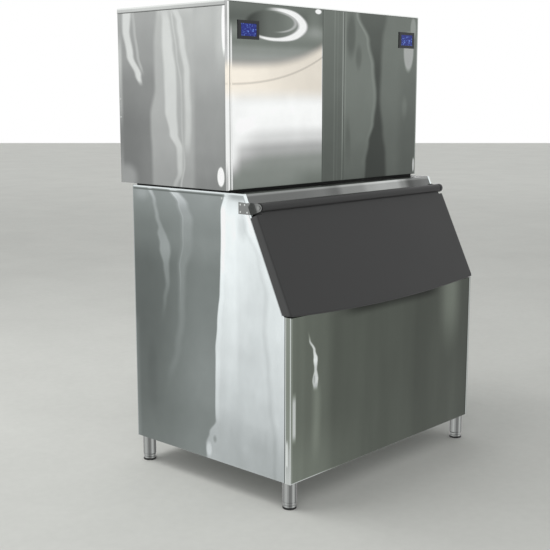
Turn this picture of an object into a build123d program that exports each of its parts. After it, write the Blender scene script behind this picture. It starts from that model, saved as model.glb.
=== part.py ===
from build123d import *
import math
import os

# Cube ice machine: an ice-making head on an insulated storage bin, on four adjustable legs.
# Millimetres. X runs to the machine's right, Y to its back and Z up from the floor.
# Y is measured from the middle of the bin while modelling, and the whole machine is
# moved along Y when it is written, so that its box stands centred over the origin.

# Shared sizes
machine_width = 1220.0
sheet = 1.2
flange = 12.0
bend_radius = 2.5
seam = 0.5

# Storage bin
bin_depth = 889.0
bin_height = 1086.0
bin_base_z = 108.0
slope_height = 442.0
deck_setback = 240.5
slope_deg = 24.8
front_return = 29.5
front_bend_radius = 3.0
floor_pan_raise = 10.0
insulation = 48.0
liner_wall = 3.0
neck_overlap = 5.0

# Openings of the bin
door_opening_margin = 65.0
door_opening_upper = 112.0
door_opening_length = 343.0
drop_opening_margin = 70.0
drop_opening_setback = 37.0
drop_opening_depth = 148.0

# Drain of the bin
drain_x = 300.0
drain_radius = 13.0
drain_bore_radius = 10.0
drain_sleeve_radius = 15.0
drain_collar = 3.0
drain_height = 15.0
drain_reach = 30.0

# Door hinge
axis_down = 70.0
axis_out = 34.0
rod_radius = 6.0
rod_clearance = 0.05
rod_head_gap = 0.4
rod_head_length = 2.0
ear_plate = 2.0
ear_radius = 15.0
ear_inset = 18.0
bracket_web_gap = 0.4
bracket_cut_reach = 140.0
plate_setback = 26.0
plate_height = 45.0
plate_top_drop = 31.0

# Door
door_overhang = 7.0
door_wall = 4.0
barrel_radius = 18.0
barrel_side_gap = 2.0
door_gap = 1.0
door_side_length = 428.0
door_sag = 24.0
door_flare = 6.0
door_edge_radius = 9.0
door_corner_radius = 12.0
door_floor_clearance = 6.0
door_notch_step = 2.0
door_notch_length = 27.0
door_top_start = 10.0
inner_panel_thickness = 3.0
inner_panel_clearance = 0.2
gasket_width = 16.0
gasket_lap = 10.0
gasket_clearance = 0.3
knob_length = 22.0
knob_gap = 0.4

# Legs
leg_inset_x = 34.0
leg_inset_y = 36.0
leg_radius = 28.0
leg_bottom_z = 28.0
leg_plate = 80.0
leg_hole_clearance = 0.5
leg_plate_thickness = 4.0
leg_plate_gap = 0.3
foot_radius = 26.0
foot_gap = 0.8
stud_radius = 10.0
stud_clearance = 0.05
stud_length = 62.0
stud_end_room = 2.0
pad_height = 7.0
pad_radius = 27.5

# Head
head_setback = 79.0
head_depth = 642.5
head_height = 710.0
seat_height = 6.0
head_front_return = 15.0
cap_skirt = 20.0
cap_front_lip = 4.5
panel_foot_gap = 0.4
strip_centre_x = 10.0
strip_width = 136.0
panel_gap = 2.0
seat_inset = 14.0
seat_width = 15.0

# Displays
display_width = 116.0
display_height = 70.0
display_proud = 3.0
display_body_inset = 4.0
display_body_depth = 22.0
display_body_clearance = 0.3
display_left_margin = 110.5
display_right_margin = 90.0
display_drop = 106.0
window_width = 83.0
window_height = 46.0
window_depth = 2.0
window_recess = 0.6

# Water inlet
inlet_x = 0.0
inlet_rise = 100.0
inlet_radius = 10.5
inlet_hole_clearance = 0.3
inlet_reach = 22.0
inlet_bore_radius = 7.0
inlet_collar = 3.2
inlet_collar_wall = 5.0
inlet_nut = 20.0
inlet_valve = 44.0

# Ice-making bays
ice_bay_depth = 310.0
wall_thickness = 10.0
cell_pitch = 29.0
cell_wall = 2.0
cell_depth = 22.0
cells_across = 12
cells_down = 10
evaporator_back = 3.0
evaporator_rim = 12.0
evaporator_wall_gap = 38.0
evaporator_rise = 256.0
standoff_radius = 9.0
standoff_inset = 30.0
spreader_height = 24.0
spreader_depth = 34.0
spreader_wall = 2.0
spreader_notch = 6.0
spreader_side_lap = 6.0
curtain_gap = 10.0
curtain_thickness = 2.5
curtain_drop = 16.0
curtain_lead = 12.0
pin_radius = 3.0
pin_clearance = 0.05
pin_length = 7.0
trough_wall = 3.0
trough_height = 95.0
trough_gap = 38.0
trough_lead = 56.0
trough_slant = 22.0
trough_shelf = 20.0
trough_side_gap = 20.0
trough_end_gap = 6.0
pump_radius = 26.0
pump_height = 74.0
pump_neck_radius = 16.0
pump_floor_gap = 10.0
pump_end_gap = 10.0

# Refrigeration bay
condenser_width = 380.0
condenser_height = 380.0
condenser_rise = 200.0
condenser_setback = 145.5
condenser_depth = 45.0
condenser_fins = 16
condenser_fin_groove = 8.0
condenser_end_plate = 2.0
condenser_end_lap = 22.0
fan_radius = 150.0
fan_hub_radius = 32.0
fan_blades = 5
fan_blade_pitch_deg = 26.0
fan_blade_chord = 78.0
fan_blade_thickness = 2.5
fan_front_gap = 3.0
fan_back_gap = 12.0
motor_radius = 42.0
motor_length = 34.0
motor_strap_width = 34.0
motor_strap_thickness = 3.0
shaft_radius = 4.0
shaft_clearance = 0.05
grille_radius = 160.0
grille_slot = 14.0
grille_pitch = 28.0
grille_rib = 4.0
compressor_radius = 78.0
compressor_height = 250.0
compressor_crown = 22.0
compressor_crown_radius = 60.0
compressor_setback = 97.0
compressor_inset_x = 215.0
compressor_tube_inset = 14.0
compressor_foot = 190.0
compressor_foot_depth = 104.0
compressor_foot_thickness = 3.0
grommet_height = 12.0
grommet_width = 22.0
tube_radius = 5.0
tube_bend = 22.0
tube_hole_clearance = 3.0
tube_gap = 0.3
discharge_rise = 70.0
discharge_lead = 42.0
discharge_inset = 20.0
suction_rise = 60.0
control_box_width = 80.0
control_box_depth = 120.0
control_box_height = 330.0
control_box_rise = 320.0
control_box_lid = 3.0
control_box_lid_inset = 6.0
control_box_setback = 12.0

# Values worked out from the sizes above
half_width = machine_width / 2
bin_front_y = -bin_depth / 2
bin_back_y = bin_depth / 2
bin_top_z = bin_base_z + bin_height
bin_ledge_z = bin_top_z - slope_height
deck_front_y = bin_front_y + deck_setback
slope_sin = math.sin(math.radians(slope_deg))
slope_cos = math.cos(math.radians(slope_deg))
head_front_y = deck_front_y + head_setback
head_back_y = head_front_y + head_depth
head_base_z = bin_top_z + seat_height
head_top_z = head_base_z + head_height
door_opening_half = half_width - door_opening_margin
door_opening_lower = door_opening_upper + door_opening_length
drop_opening_half = half_width - drop_opening_margin
drop_opening_front_y = head_front_y + drop_opening_setback
drop_opening_back_y = drop_opening_front_y + drop_opening_depth


def on_slope(down, out):
    """Point (y, z) a distance down the slope from the deck's front edge and out from it."""
    y = deck_front_y - down * slope_sin - out * slope_cos
    z = bin_top_z - down * slope_cos + out * slope_sin
    return y, z


axis_y, axis_z = on_slope(axis_down, axis_out)
front_return_y = bin_front_y + front_return
floor_pan_z = bin_base_z + floor_pan_raise
ear_x = half_width - ear_inset
barrel_half = ear_x - ear_plate - barrel_side_gap
door_half = half_width + door_overhang
door_low = door_side_length + door_sag
face_rise = door_flare / door_side_length
plate_back_y = deck_front_y + plate_setback
head_side_front_y = head_front_y + head_front_return + seam
head_side_top_z = head_top_z - cap_skirt - seam
head_panel_y = head_back_y - 2 * sheet
base_pan_top_z = head_base_z + 2 * sheet
inner_top_z = head_side_top_z - sheet - seam
panel_bottom_z = head_base_z + sheet + panel_foot_gap
panel_top_z = head_top_z - cap_front_lip - seam
display_left_x = -half_width + display_left_margin
display_right_x = half_width - display_right_margin
display_z = head_top_z - display_drop
inlet_z = head_base_z + inlet_rise
bay_centre_x = half_width / 2
wall_front_y = head_front_y + ice_bay_depth
evaporator_width = cells_across * cell_pitch + cell_wall + 2 * evaporator_rim
evaporator_height = cells_down * cell_pitch + cell_wall + 2 * evaporator_rim
evaporator_depth = cell_depth + evaporator_back
evaporator_front_y = wall_front_y - evaporator_wall_gap - evaporator_depth
evaporator_base_z = head_base_z + evaporator_rise
evaporator_top_z = evaporator_base_z + evaporator_height
spreader_end_x = evaporator_width / 2 + spreader_side_lap
curtain_y = evaporator_front_y - curtain_gap
curtain_axis_z = evaporator_top_z + spreader_height / 2
trough_front_y = evaporator_front_y - trough_lead
trough_back_y = wall_front_y - trough_shelf
trough_top_z = evaporator_base_z - trough_gap
trough_base_z = trough_top_z - trough_height
trough_outboard = half_width - trough_side_gap
pump_x = trough_outboard - pump_radius - pump_end_gap
pump_y = (trough_front_y + wall_front_y) / 2
compressor_y = wall_front_y + compressor_setback
compressor_top_z = base_pan_top_z + grommet_height + compressor_foot_thickness + compressor_height
condenser_front_y = head_back_y - condenser_setback
condenser_back_y = condenser_front_y + condenser_depth
condenser_base_z = head_base_z + condenser_rise
fan_z = condenser_base_z + condenser_height / 2
strap_y = condenser_back_y + condenser_end_lap
suction_x = compressor_inset_x + compressor_tube_inset
suction_z = evaporator_base_z + suction_rise
control_box_base_z = head_base_z + control_box_rise


def block(x0, x1, y0, y1, z0, z1):
    """Box between two corners."""
    centre = Pos((x0 + x1) / 2, (y0 + y1) / 2, (z0 + z1) / 2)
    return centre * Box(abs(x1 - x0), abs(y1 - y0), abs(z1 - z0))


def group(pieces):
    """Separate solids that make up one node."""
    return Compound([solid for piece in pieces for solid in piece.solids()])


def side_prism(points, x0, x1):
    """Side view outline, given as (y, z) points, run along X from x0 to x1."""
    outline = Plane.YZ * make_face(Polyline(*points, close=True))
    return extrude(Pos(x0, 0, 0) * outline, amount=x1 - x0, dir=(1, 0, 0))


def rod_x(x0, x1, y, z, radius):
    """Cylinder along X."""
    return Pos((x0 + x1) / 2, y, z) * Rot(0, 90, 0) * Cylinder(radius, abs(x1 - x0))


def rod_y(x, y0, y1, z, radius):
    """Cylinder along Y."""
    return Pos(x, (y0 + y1) / 2, z) * Rot(90, 0, 0) * Cylinder(radius, abs(y1 - y0))


def rod_z(x, y, z0, z1, radius):
    """Cylinder along Z."""
    return Pos(x, y, (z0 + z1) / 2) * Cylinder(radius, abs(z1 - z0))


def folded_tray(x0, x1, y0, y1, z0, z1, open_side, radius=bend_radius, wall=sheet):
    """Sheet tray with flanges on four sides: one wall of the box is left open.

    The open side is one of +X, -X, +Y, -Y, +Z or -Z. The bends round the closed face."""
    solid = block(x0, x1, y0, y1, z0, z1)
    axis = {"X": Axis.X, "Y": Axis.Y, "Z": Axis.Z}[open_side[1]]
    closed = solid.faces().sort_by(axis)[0 if open_side[0] == "+" else -1]
    if radius > 0:
        solid = fillet(closed.edges(), radius)
    low = [x0 + wall, y0 + wall, z0 + wall]
    high = [x1 - wall, y1 - wall, z1 - wall]
    i = "XYZ".index(open_side[1])
    if open_side[0] == "+":
        high[i] += 2 * wall
    else:
        low[i] -= 2 * wall
    return solid - block(low[0], high[0], low[1], high[1], low[2], high[2])


def slope_y(z, inset):
    """Y of the sloping front at height z, for an outline a little inside the outer one."""
    return deck_front_y + ((z - bin_top_z) * slope_sin + inset) / slope_cos


def bin_outline(inset):
    """Side view of the bin, offset inwards: back, top deck, slope, ledge and front."""
    back = bin_back_y - inset
    top = bin_top_z - inset
    ledge = bin_ledge_z - inset
    front = bin_front_y + inset
    base = bin_base_z + inset
    slope_top = (slope_y(top, inset), top)
    slope_foot = (slope_y(ledge, inset), ledge)
    return [(back, base), (back, top), slope_top, slope_foot, (front, ledge), (front, base)]


def slope_block(x0, x1, down0, down1, out0, out1):
    """Block that lies along the slope, between distances down it and out from it."""
    corners = [on_slope(down0, out0), on_slope(down0, out1), on_slope(down1, out1), on_slope(down1, out0)]
    return side_prism(corners, x0, x1)


# Storage bin


def bin_side(side):
    """Side panel: a sheet flanged at its top, slope and back, that stops at the front panel's return."""
    outline = bin_outline(0)
    outline[4] = (front_return_y + seam, bin_ledge_z)
    outline[5] = (front_return_y + seam, bin_base_z)
    solid = side_prism(outline, half_width - flange, half_width)
    solid = fillet(solid.faces().sort_by(Axis.X)[-1].edges(), bend_radius)
    inner = bin_outline(sheet)
    inner[0] = (bin_back_y - sheet, bin_base_z - 1)
    inner[4] = (front_return_y + seam - 1, bin_ledge_z - sheet)
    inner[5] = (front_return_y + seam - 1, bin_base_z - 1)
    solid -= side_prism(inner, half_width - flange - 1, half_width - sheet)
    return solid if side > 0 else mirror(solid, Plane.YZ)


def bin_front():
    """Front panel: one sheet folded back at both sides, at the ledge and at the floor."""
    solid = folded_tray(
        -half_width, half_width, bin_front_y, front_return_y, bin_base_z, bin_ledge_z, "+Y", front_bend_radius
    )
    return solid - leg_space(leg_hole_clearance)


def bin_back():
    """Back panel, a flat sheet behind the side panels' flanges, with the drain's hole."""
    y1 = bin_back_y - sheet
    x1 = half_width - sheet
    solid = block(-x1, x1, y1 - sheet, y1, floor_pan_z + sheet, bin_top_z - 2 * sheet)
    return solid - drain_hole()


def bin_floor():
    """Floor pan with edges turned down, raised inside the skirt of the panels."""
    x1 = half_width - sheet
    y0, y1 = bin_front_y + sheet, bin_back_y - sheet
    return folded_tray(-x1, x1, y0, y1, bin_base_z + sheet, floor_pan_z + sheet, "-Z", 0)


def bin_top_panel():
    """Deck and slope folded from one sheet, with the ice drop and the door opening cut out."""
    x1 = half_width - sheet
    band = side_prism(bin_outline(sheet), -x1, x1) - side_prism(bin_outline(2 * sheet), -x1 - 1, x1 + 1)
    y0, y1 = front_return_y - flange, bin_back_y - 2 * sheet
    reach = block(-x1, x1, y0, y1, bin_ledge_z - 2 * sheet, bin_top_z)
    band = band & reach
    band -= drop_neck(0)
    band -= door_neck(0)
    return band


def drop_neck(wall):
    """Space of the ice drop through the bin's insulated top."""
    x1 = drop_opening_half + wall
    low, high = bin_top_z - insulation - neck_overlap, bin_top_z - 2 * sheet if wall else bin_top_z + 1
    return block(-x1, x1, drop_opening_front_y - wall, drop_opening_back_y + wall, low, high)


def door_neck(wall):
    """Space of the door opening through the insulated slope."""
    x1 = door_opening_half + wall
    inner, outer = -insulation - neck_overlap, -2 * sheet if wall else 1
    return slope_block(-x1, x1, door_opening_upper - wall, door_opening_lower + wall, inner, outer)


def drain_run(y0, y1, radius):
    """Round space along the drain's axis."""
    return rod_y(drain_x, y0, y1, bin_base_z + insulation + drain_height, radius)


def drain_hole():
    """Hole for the drain through the liner, the foam and the back panel."""
    return drain_run(bin_back_y - insulation - liner_wall, bin_back_y + 1, drain_sleeve_radius)


def liner_solid():
    """Outer shape of the liner with its two necks."""
    x1 = half_width - insulation + liner_wall
    body = side_prism(bin_outline(insulation - liner_wall), -x1, x1)
    return body + drop_neck(liner_wall) + door_neck(liner_wall)


def bin_liner():
    """Liner of plastic sheets welded at mitred corners, with a neck at the ice drop and one at the door."""
    x1 = half_width - insulation
    outer, inner = bin_outline(insulation - liner_wall), bin_outline(insulation)
    cavity = side_prism(inner, -x1, x1)
    sheets = []
    for i in range(len(outer)):
        j = (i + 1) % len(outer)
        band = side_prism([outer[i], outer[j], inner[j], inner[i]], -x1, x1)
        sheets.append(band - drop_neck(liner_wall) - door_neck(liner_wall) - drain_hole())
    sheets += [side_prism(outer, x1, x1 + liner_wall), side_prism(outer, -x1 - liner_wall, -x1)]
    necks = [drop_neck(liner_wall) - drop_neck(0) - cavity, door_neck(liner_wall) - door_neck(0) - cavity]
    return group(sheets + necks)


def bin_insulation(side_panels):
    """Foam between the outer sheets and the liner."""
    x1 = half_width - sheet
    outline = bin_outline(2 * sheet)
    floor_z = floor_pan_z + sheet
    front = bin_front_y + sheet
    outline[0] = (outline[0][0], floor_z)
    outline[4] = (front, bin_ledge_z - 2 * sheet)
    outline[5] = (front, floor_z)
    solid = side_prism(outline, -x1, x1) - liner_solid() - drain_hole()
    for panel in side_panels:
        solid -= panel
    return solid


def bin_drain():
    """Drain: a sleeve from the liner's back wall through the back panel, and the hose end behind it."""
    y0 = bin_back_y - insulation - liner_wall
    y1 = bin_back_y - sheet + drain_collar
    y2 = bin_back_y + drain_reach
    sleeve = drain_run(y0, y1, drain_sleeve_radius) - drain_run(y0 - 1, y1 + 1, drain_bore_radius)
    return group([sleeve, drain_run(y1, y2, drain_radius) - drain_run(y1 - 1, y2 + 1, drain_bore_radius)])


# Legs


def leg_places():
    """Name and centre of each leg, mirrored about the bin's middle."""
    x = half_width - leg_inset_x
    y = bin_depth / 2 - leg_inset_y
    return {
        "front_left": (-x, -y),
        "front_right": (x, -y),
        "back_left": (-x, y),
        "back_right": (x, y),
    }


def leg_space(clearance):
    """Round space of the four legs at the height of the panels' lower edges."""
    z0, z1 = bin_base_z - 1, bin_base_z + sheet + 1
    return [rod_z(x, y, z0, z1, leg_radius + clearance) for x, y in leg_places().values()]


def leg_tubes():
    """Four legs: a square plate under the floor pan and a round leg bored for the foot's stud."""
    legs = []
    half = min(leg_plate / 2, leg_inset_x - 2 * sheet - leg_plate_gap)
    plate_z = floor_pan_z - leg_plate_thickness
    bore_z = leg_bottom_z + stud_length + stud_end_room
    for x, y in leg_places().values():
        plate = block(x - half, x + half, y - half, y + half, plate_z, floor_pan_z)
        tube = rod_z(x, y, leg_bottom_z, plate_z, leg_radius)
        bore = rod_z(x, y, leg_bottom_z, bore_z, stud_radius + stud_clearance)
        legs.append(plate + tube - bore)
    return group(legs)


def foot(x, y):
    """Adjusting foot: a round cup and the stud that runs in the leg."""
    cup = rod_z(x, y, pad_height, leg_bottom_z - foot_gap, foot_radius)
    return cup + rod_z(x, y, leg_bottom_z - foot_gap, leg_bottom_z + stud_length, stud_radius)


def foot_pad(x, y):
    """Moulded pad under the foot."""
    return rod_z(x, y, 0, pad_height, pad_radius)


# Door and its hinge


def axis_offset(down, out):
    """Point (y, z) a distance down the door from the hinge axis and out from it."""
    return axis_y - down * slope_sin - out * slope_cos, axis_z - down * slope_cos + out * slope_sin


def face_out(down):
    """Height of the door's face over the plane of the hinge axis, which flares towards the bottom."""
    return face_rise * down


def down_at(z, out, rise=0.0):
    """Distance down the door at which a plane that starts at out, and rises, meets the height z."""
    return (axis_z - z + out * slope_sin) / (slope_cos - rise * slope_sin)


def door_plane():
    """Plane of the hinge axis: its X is the machine's, its Y points up the slope."""
    return Plane(origin=(0, axis_y, axis_z), x_dir=(1, 0, 0), z_dir=(0, -slope_cos, slope_sin))


def door_front_view(inset):
    """Prism of the door's front view: straight sides, bowed lower edge and notched upper corners."""
    half = door_half - inset
    side = door_side_length - inset
    low = door_low - inset
    top = 40.0
    lines = Polyline((half, -side), (half, top), (-half, top), (-half, -side))
    bow = ThreePointArc((-half, -side), (0, -low), (half, -side))
    view = make_face(lines + bow)
    corners = view.vertices().sort_by(Axis.Y)[0:2]
    view = fillet(corners, door_corner_radius - inset)
    solid = extrude(door_plane() * view, amount=30, both=False)
    solid += extrude(door_plane() * view, amount=-60)
    return solid


def door_side_view(inset, open_back):
    """Side view of the door: back plane, level underside, lip below it and flared face."""
    back = -(axis_out - door_gap) - (20 if open_back else 0)
    floor_z = bin_ledge_z + door_floor_clearance + inset
    top = door_top_start + inset
    skin = -inset if inset else -door_wall
    under_back = (down_at(floor_z, back), back)
    meet = down_at(floor_z, skin, face_rise)
    points = [(top, back), under_back, (meet, skin + face_out(meet))]
    if not inset:
        end = door_low + 20
        points += [(end, skin + face_out(end)), (end, face_out(end)), (top, face_out(top))]
    else:
        points += [(top, skin + face_out(top))]
    return [axis_offset(down, out) for down, out in points]


def door_corner_cut(inset):
    """Space of the two upper corners that stay clear of the hinge ears."""
    inner = barrel_half - door_notch_step - inset
    cut = None
    for side in (-1, 1):
        corners = [
            axis_offset(-60, -60),
            axis_offset(-60, 60),
            axis_offset(door_notch_length + inset, 60),
            axis_offset(door_notch_length + inset, -60),
        ]
        piece = side_prism(corners, side * inner, side * (door_half + 20))
        cut = piece if cut is None else cut + piece
    return cut


def door_blank(inset, open_back):
    """Solid of the door without its rolled top, or of the hollow inside it."""
    half = door_half + 1
    solid = side_prism(door_side_view(inset, open_back), -half, half) & door_front_view(inset)
    return solid - door_corner_cut(inset)


def door_shell():
    """Moulded door: a deep skin with rounded sides, hollow behind, and a rolled top for the hinge rod."""
    solid = door_blank(0, False)
    long_edges = []
    for edge in solid.edges():
        middle = edge.center()
        near_face = edge.length > 300 and abs(abs(middle.X) - door_half) < 0.5
        if near_face and middle.Y < axis_offset(door_side_length / 2, -10)[0]:
            long_edges.append(edge)
    solid = fillet(long_edges, door_edge_radius)
    solid -= door_blank(door_wall, True)
    solid += rod_x(-barrel_half, barrel_half, axis_y, axis_z, barrel_radius)
    return solid - rod_x(-barrel_half - 1, barrel_half + 1, axis_y, axis_z, rod_radius)


def door_inner_panel():
    """Flat panel that closes the back of the door."""
    back = -(axis_out - door_gap)
    corners = [
        axis_offset(-60, back),
        axis_offset(-60, back + inner_panel_thickness),
        axis_offset(door_low + 60, back + inner_panel_thickness),
        axis_offset(door_low + 60, back),
    ]
    return door_blank(door_wall + inner_panel_clearance, True) & side_prism(corners, -door_half, door_half)


def door_gasket():
    """Soft strip round the door opening, on the door's inner panel."""
    out0, out1 = -sheet + gasket_clearance, door_gap
    x1 = door_opening_half + gasket_lap
    upper, lower = door_opening_upper - gasket_lap, door_opening_lower + gasket_lap
    outer = slope_block(-x1 - gasket_width, x1 + gasket_width, upper, lower, out0, out1)
    inner_upper, inner_lower = upper + gasket_width / 2, lower - gasket_width / 2
    return outer - slope_block(-x1, x1, inner_upper, inner_lower, out0 - 1, out1 + 1)


def hinge_rod():
    """Steel rod through the rolled top and both ears, with a low head at its left end."""
    head_x = -ear_x - rod_head_gap
    rod = rod_x(head_x, ear_x + knob_gap, axis_y, axis_z, rod_radius)
    return rod + rod_x(head_x - rod_head_length, head_x, axis_y, axis_z, rod_radius + 2)


def rod_end_knob():
    """Moulded knob on the rod's right end, as thick as the rolled top."""
    return rod_x(ear_x + knob_gap, ear_x + knob_gap + knob_length, axis_y, axis_z, barrel_radius)


def tangent_point(point, centre, radius, turn):
    """Point where the line from a point touches a circle, on the side given by turn."""
    dy, dz = centre[0] - point[0], centre[1] - point[1]
    distance = math.hypot(dy, dz)
    spread = math.acos(radius / distance)
    angle = math.atan2(-dz, -dy) + turn * spread
    return centre[0] + radius * math.cos(angle), centre[1] + radius * math.sin(angle)


def plate_corners():
    """Corners of the bracket's plate on the side panel, back bottom first."""
    top = bin_top_z - plate_top_drop
    bottom = top - plate_height
    return (plate_back_y, bottom), (plate_back_y, top)


def hinge_bracket(side):
    """Bracket folded twice: plate on the side panel, web over the slope and ear to the hinge rod."""
    low, high = plate_corners()
    down = (bin_top_z - low[1]) / slope_cos
    root = on_slope(down, 0)
    touch = tangent_point(root, (axis_y, axis_z), ear_radius, -1)
    outline = [low, high, (axis_y, axis_z + ear_radius), (axis_y, axis_z), touch, root]
    x_low, x_high = ear_x - ear_plate - 1, half_width + ear_plate + 1
    shape = side_prism(outline, x_low, x_high) + rod_x(x_low, x_high, axis_y, axis_z, ear_radius)
    plate_out = half_width + ear_plate
    web = bracket_web_gap
    far = bracket_cut_reach
    fold = slope_block(half_width, plate_out, -far, far, -far, web + ear_plate)
    fold += slope_block(ear_x - ear_plate, plate_out, -far, far, web, web + ear_plate)
    fold += slope_block(ear_x - ear_plate, ear_x, -far, far, web, far)
    solid = shape & fold
    solid -= rod_x(x_low, x_high, axis_y, axis_z, rod_radius + rod_clearance)
    return solid if side > 0 else mirror(solid, Plane.YZ)


# Head casing


def seat_gasket():
    """Black strip that seals the head's base on the bin's deck."""
    x1 = half_width - seat_inset
    y0, y1 = head_front_y + seat_inset, bin_back_y - seat_inset
    z0, z1 = bin_top_z - sheet, head_base_z + sheet
    ring = block(-x1, x1, y0, y1, z0, z1)
    return ring - block(-x1 + seat_width, x1 - seat_width, y0 + seat_width, y1 - seat_width, z0 - 1, z1 + 1)


def head_base_pan():
    """Base of the head with the ice drop opening."""
    x1 = half_width - sheet
    z0, z1 = head_base_z + sheet, base_pan_top_z
    pan = block(-x1, x1, head_side_front_y + sheet, head_back_y - sheet, z0, z1)
    x2 = drop_opening_half
    return pan - block(-x2, x2, drop_opening_front_y, drop_opening_back_y, z0 - 1, z1 + 1)


def head_side(side):
    """Side panel of the head, a shallow folded tray open towards the inside."""
    x0, x1 = half_width - flange, half_width
    solid = folded_tray(x0, x1, head_side_front_y, head_back_y, head_base_z, head_side_top_z, "-X")
    return solid if side > 0 else mirror(solid, Plane.YZ)


def head_top_cover():
    """Top cover with a low skirt on both sides and the back, and a narrow lip over the front panels."""
    z0 = head_top_z - cap_skirt
    solid = folded_tray(-half_width, half_width, head_front_y, head_back_y, z0, head_top_z, "-Z")
    x1, z1 = half_width + 1, head_top_z - cap_front_lip
    return solid - block(-x1, x1, head_front_y - 1, head_side_front_y, z0 - 1, z1)


def grille_slots(x):
    """Horizontal slots in a round field, where the fan's air leaves."""
    rows = int(grille_radius / grille_pitch)
    slots = None
    for row in range(-rows, rows + 1):
        z = fan_z + row * grille_pitch
        half = math.sqrt(max(grille_radius**2 - (row * grille_pitch) ** 2, 0.0))
        for side in (-1, 1):
            x0, x1 = x + side * grille_rib, x + side * half
            if abs(x1 - x0) < grille_slot:
                continue
            cut = block(x0, x1, head_panel_y - 1, head_back_y + 1, z - grille_slot / 2, z + grille_slot / 2)
            slots = cut if slots is None else slots + cut
    return slots


def head_back_panel():
    """Back panel with the slotted field behind each fan and the water inlet's hole."""
    x1 = half_width - sheet
    solid = block(-x1, x1, head_panel_y, head_back_y - sheet, base_pan_top_z, inner_top_z)
    for side in (-1, 1):
        solid -= grille_slots(side * bay_centre_x)
    return solid - rod_y(inlet_x, head_panel_y - 1, head_back_y + 1, inlet_z, inlet_radius)


def display_cut(x, clearance):
    """Space that a display's body takes in its front panel."""
    w = display_width / 2 - display_body_inset + clearance
    h = display_height / 2 - display_body_inset + clearance
    y1 = head_front_y + display_body_depth
    return block(x - w, x + w, head_front_y - 1, y1, display_z - h, display_z + h)


def head_front(side):
    """Removable front panel, a folded tray open at the back, with the display's cut-out."""
    edge = strip_centre_x + side * (strip_width / 2 + panel_gap)
    x0, x1 = sorted((edge, side * half_width))
    y1 = head_front_y + head_front_return
    solid = folded_tray(x0, x1, head_front_y, y1, panel_bottom_z, panel_top_z, "+Y")
    return solid - display_cut(display_left_x if side < 0 else display_right_x, display_body_clearance)


def head_centre_strip():
    """Narrow cover between the two front panels."""
    x0, x1 = strip_centre_x - strip_width / 2, strip_centre_x + strip_width / 2
    y1 = head_front_y + head_front_return
    return folded_tray(x0, x1, head_front_y, y1, panel_bottom_z, panel_top_z, "+Y")


def display_bezel(x):
    """Moulded display housing: a proud frame with a stepped window seat and a body behind the panel."""
    y0 = head_front_y - display_proud
    w, h = display_width / 2, display_height / 2
    frame = block(x - w, x + w, y0, head_front_y, display_z - h, display_z + h)
    frame = fillet(frame.faces().sort_by(Axis.Y)[0].edges(), 1.5)
    solid = frame + (display_cut(x, 0) & block(x - w, x + w, head_front_y, 0, 0, head_top_z))
    w, h = window_width / 2, window_height / 2
    seat = window_recess + window_depth
    return solid - block(x - w, x + w, y0 - 1, y0 + seat, display_z - h, display_z + h)


def display_windows():
    """Blue display windows, slightly recessed in their frames."""
    windows = []
    y0 = head_front_y - display_proud + window_recess
    w, h = window_width / 2, window_height / 2
    for x in (display_left_x, display_right_x):
        windows.append(block(x - w, x + w, y0, y0 + window_depth, display_z - h, display_z + h))
    return group(windows)


# Inside the head


def compartment_wall():
    """Wall between the ice-making bays and the refrigeration bay."""
    x1 = half_width - sheet
    y0, y1 = wall_front_y, wall_front_y + wall_thickness
    solid = block(-x1, x1, y0, y1, base_pan_top_z, inner_top_z)
    hole = tube_radius + tube_hole_clearance
    for side in (-1, 1):
        solid -= rod_y(side * suction_x, y0 - 1, y1 + 1, suction_z, hole)
    return solid


def bay_divider():
    """Sheet between the two ice-making bays, with a front flange behind the centre strip."""
    y0 = head_side_front_y
    x = strip_centre_x
    z0 = base_pan_top_z
    web = block(x - sheet / 2, x + sheet / 2, y0, wall_front_y, z0, inner_top_z)
    half = strip_width / 2 + panel_gap + flange
    return web + block(x - half, x + half, y0, y0 + sheet, z0, inner_top_z)


def control_box():
    """Electrical box on the bay divider, with a stepped lid."""
    x0 = strip_centre_x + sheet / 2
    x1 = x0 + control_box_width
    y0 = head_side_front_y + control_box_setback
    y1 = y0 + control_box_depth
    z0 = control_box_base_z
    z1 = z0 + control_box_height
    inset = control_box_lid_inset
    lid = block(x1, x1 + control_box_lid, y0 + inset, y1 - inset, z0 + inset, z1 - inset)
    return block(x0, x1, y0, y1, z0, z1) + lid


def evaporator(side):
    """Evaporator plate: a grid of square cells open to the front, in a plain rim with four stand-offs."""
    x0 = side * bay_centre_x - evaporator_width / 2
    z0 = evaporator_base_z
    y0 = evaporator_front_y
    plate = block(x0, x0 + evaporator_width, y0, y0 + evaporator_depth, z0, z0 + evaporator_height)
    size = cell_pitch - cell_wall
    first_x = x0 + evaporator_rim + cell_wall + size / 2
    first_z = z0 + evaporator_rim + cell_wall + size / 2
    cell = Box(size, cell_depth, size)
    cells = []
    for column in range(cells_across):
        for row in range(cells_down):
            centre = Pos(first_x + column * cell_pitch, y0 + cell_depth / 2, first_z + row * cell_pitch)
            cells.append(centre * cell)
    plate = plate - cells
    for x in (x0 + standoff_inset, x0 + evaporator_width - standoff_inset):
        for z in (z0 + standoff_inset, z0 + evaporator_height - standoff_inset):
            plate += rod_y(x, y0 + evaporator_depth, wall_front_y, z, standoff_radius)
    return plate


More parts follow.
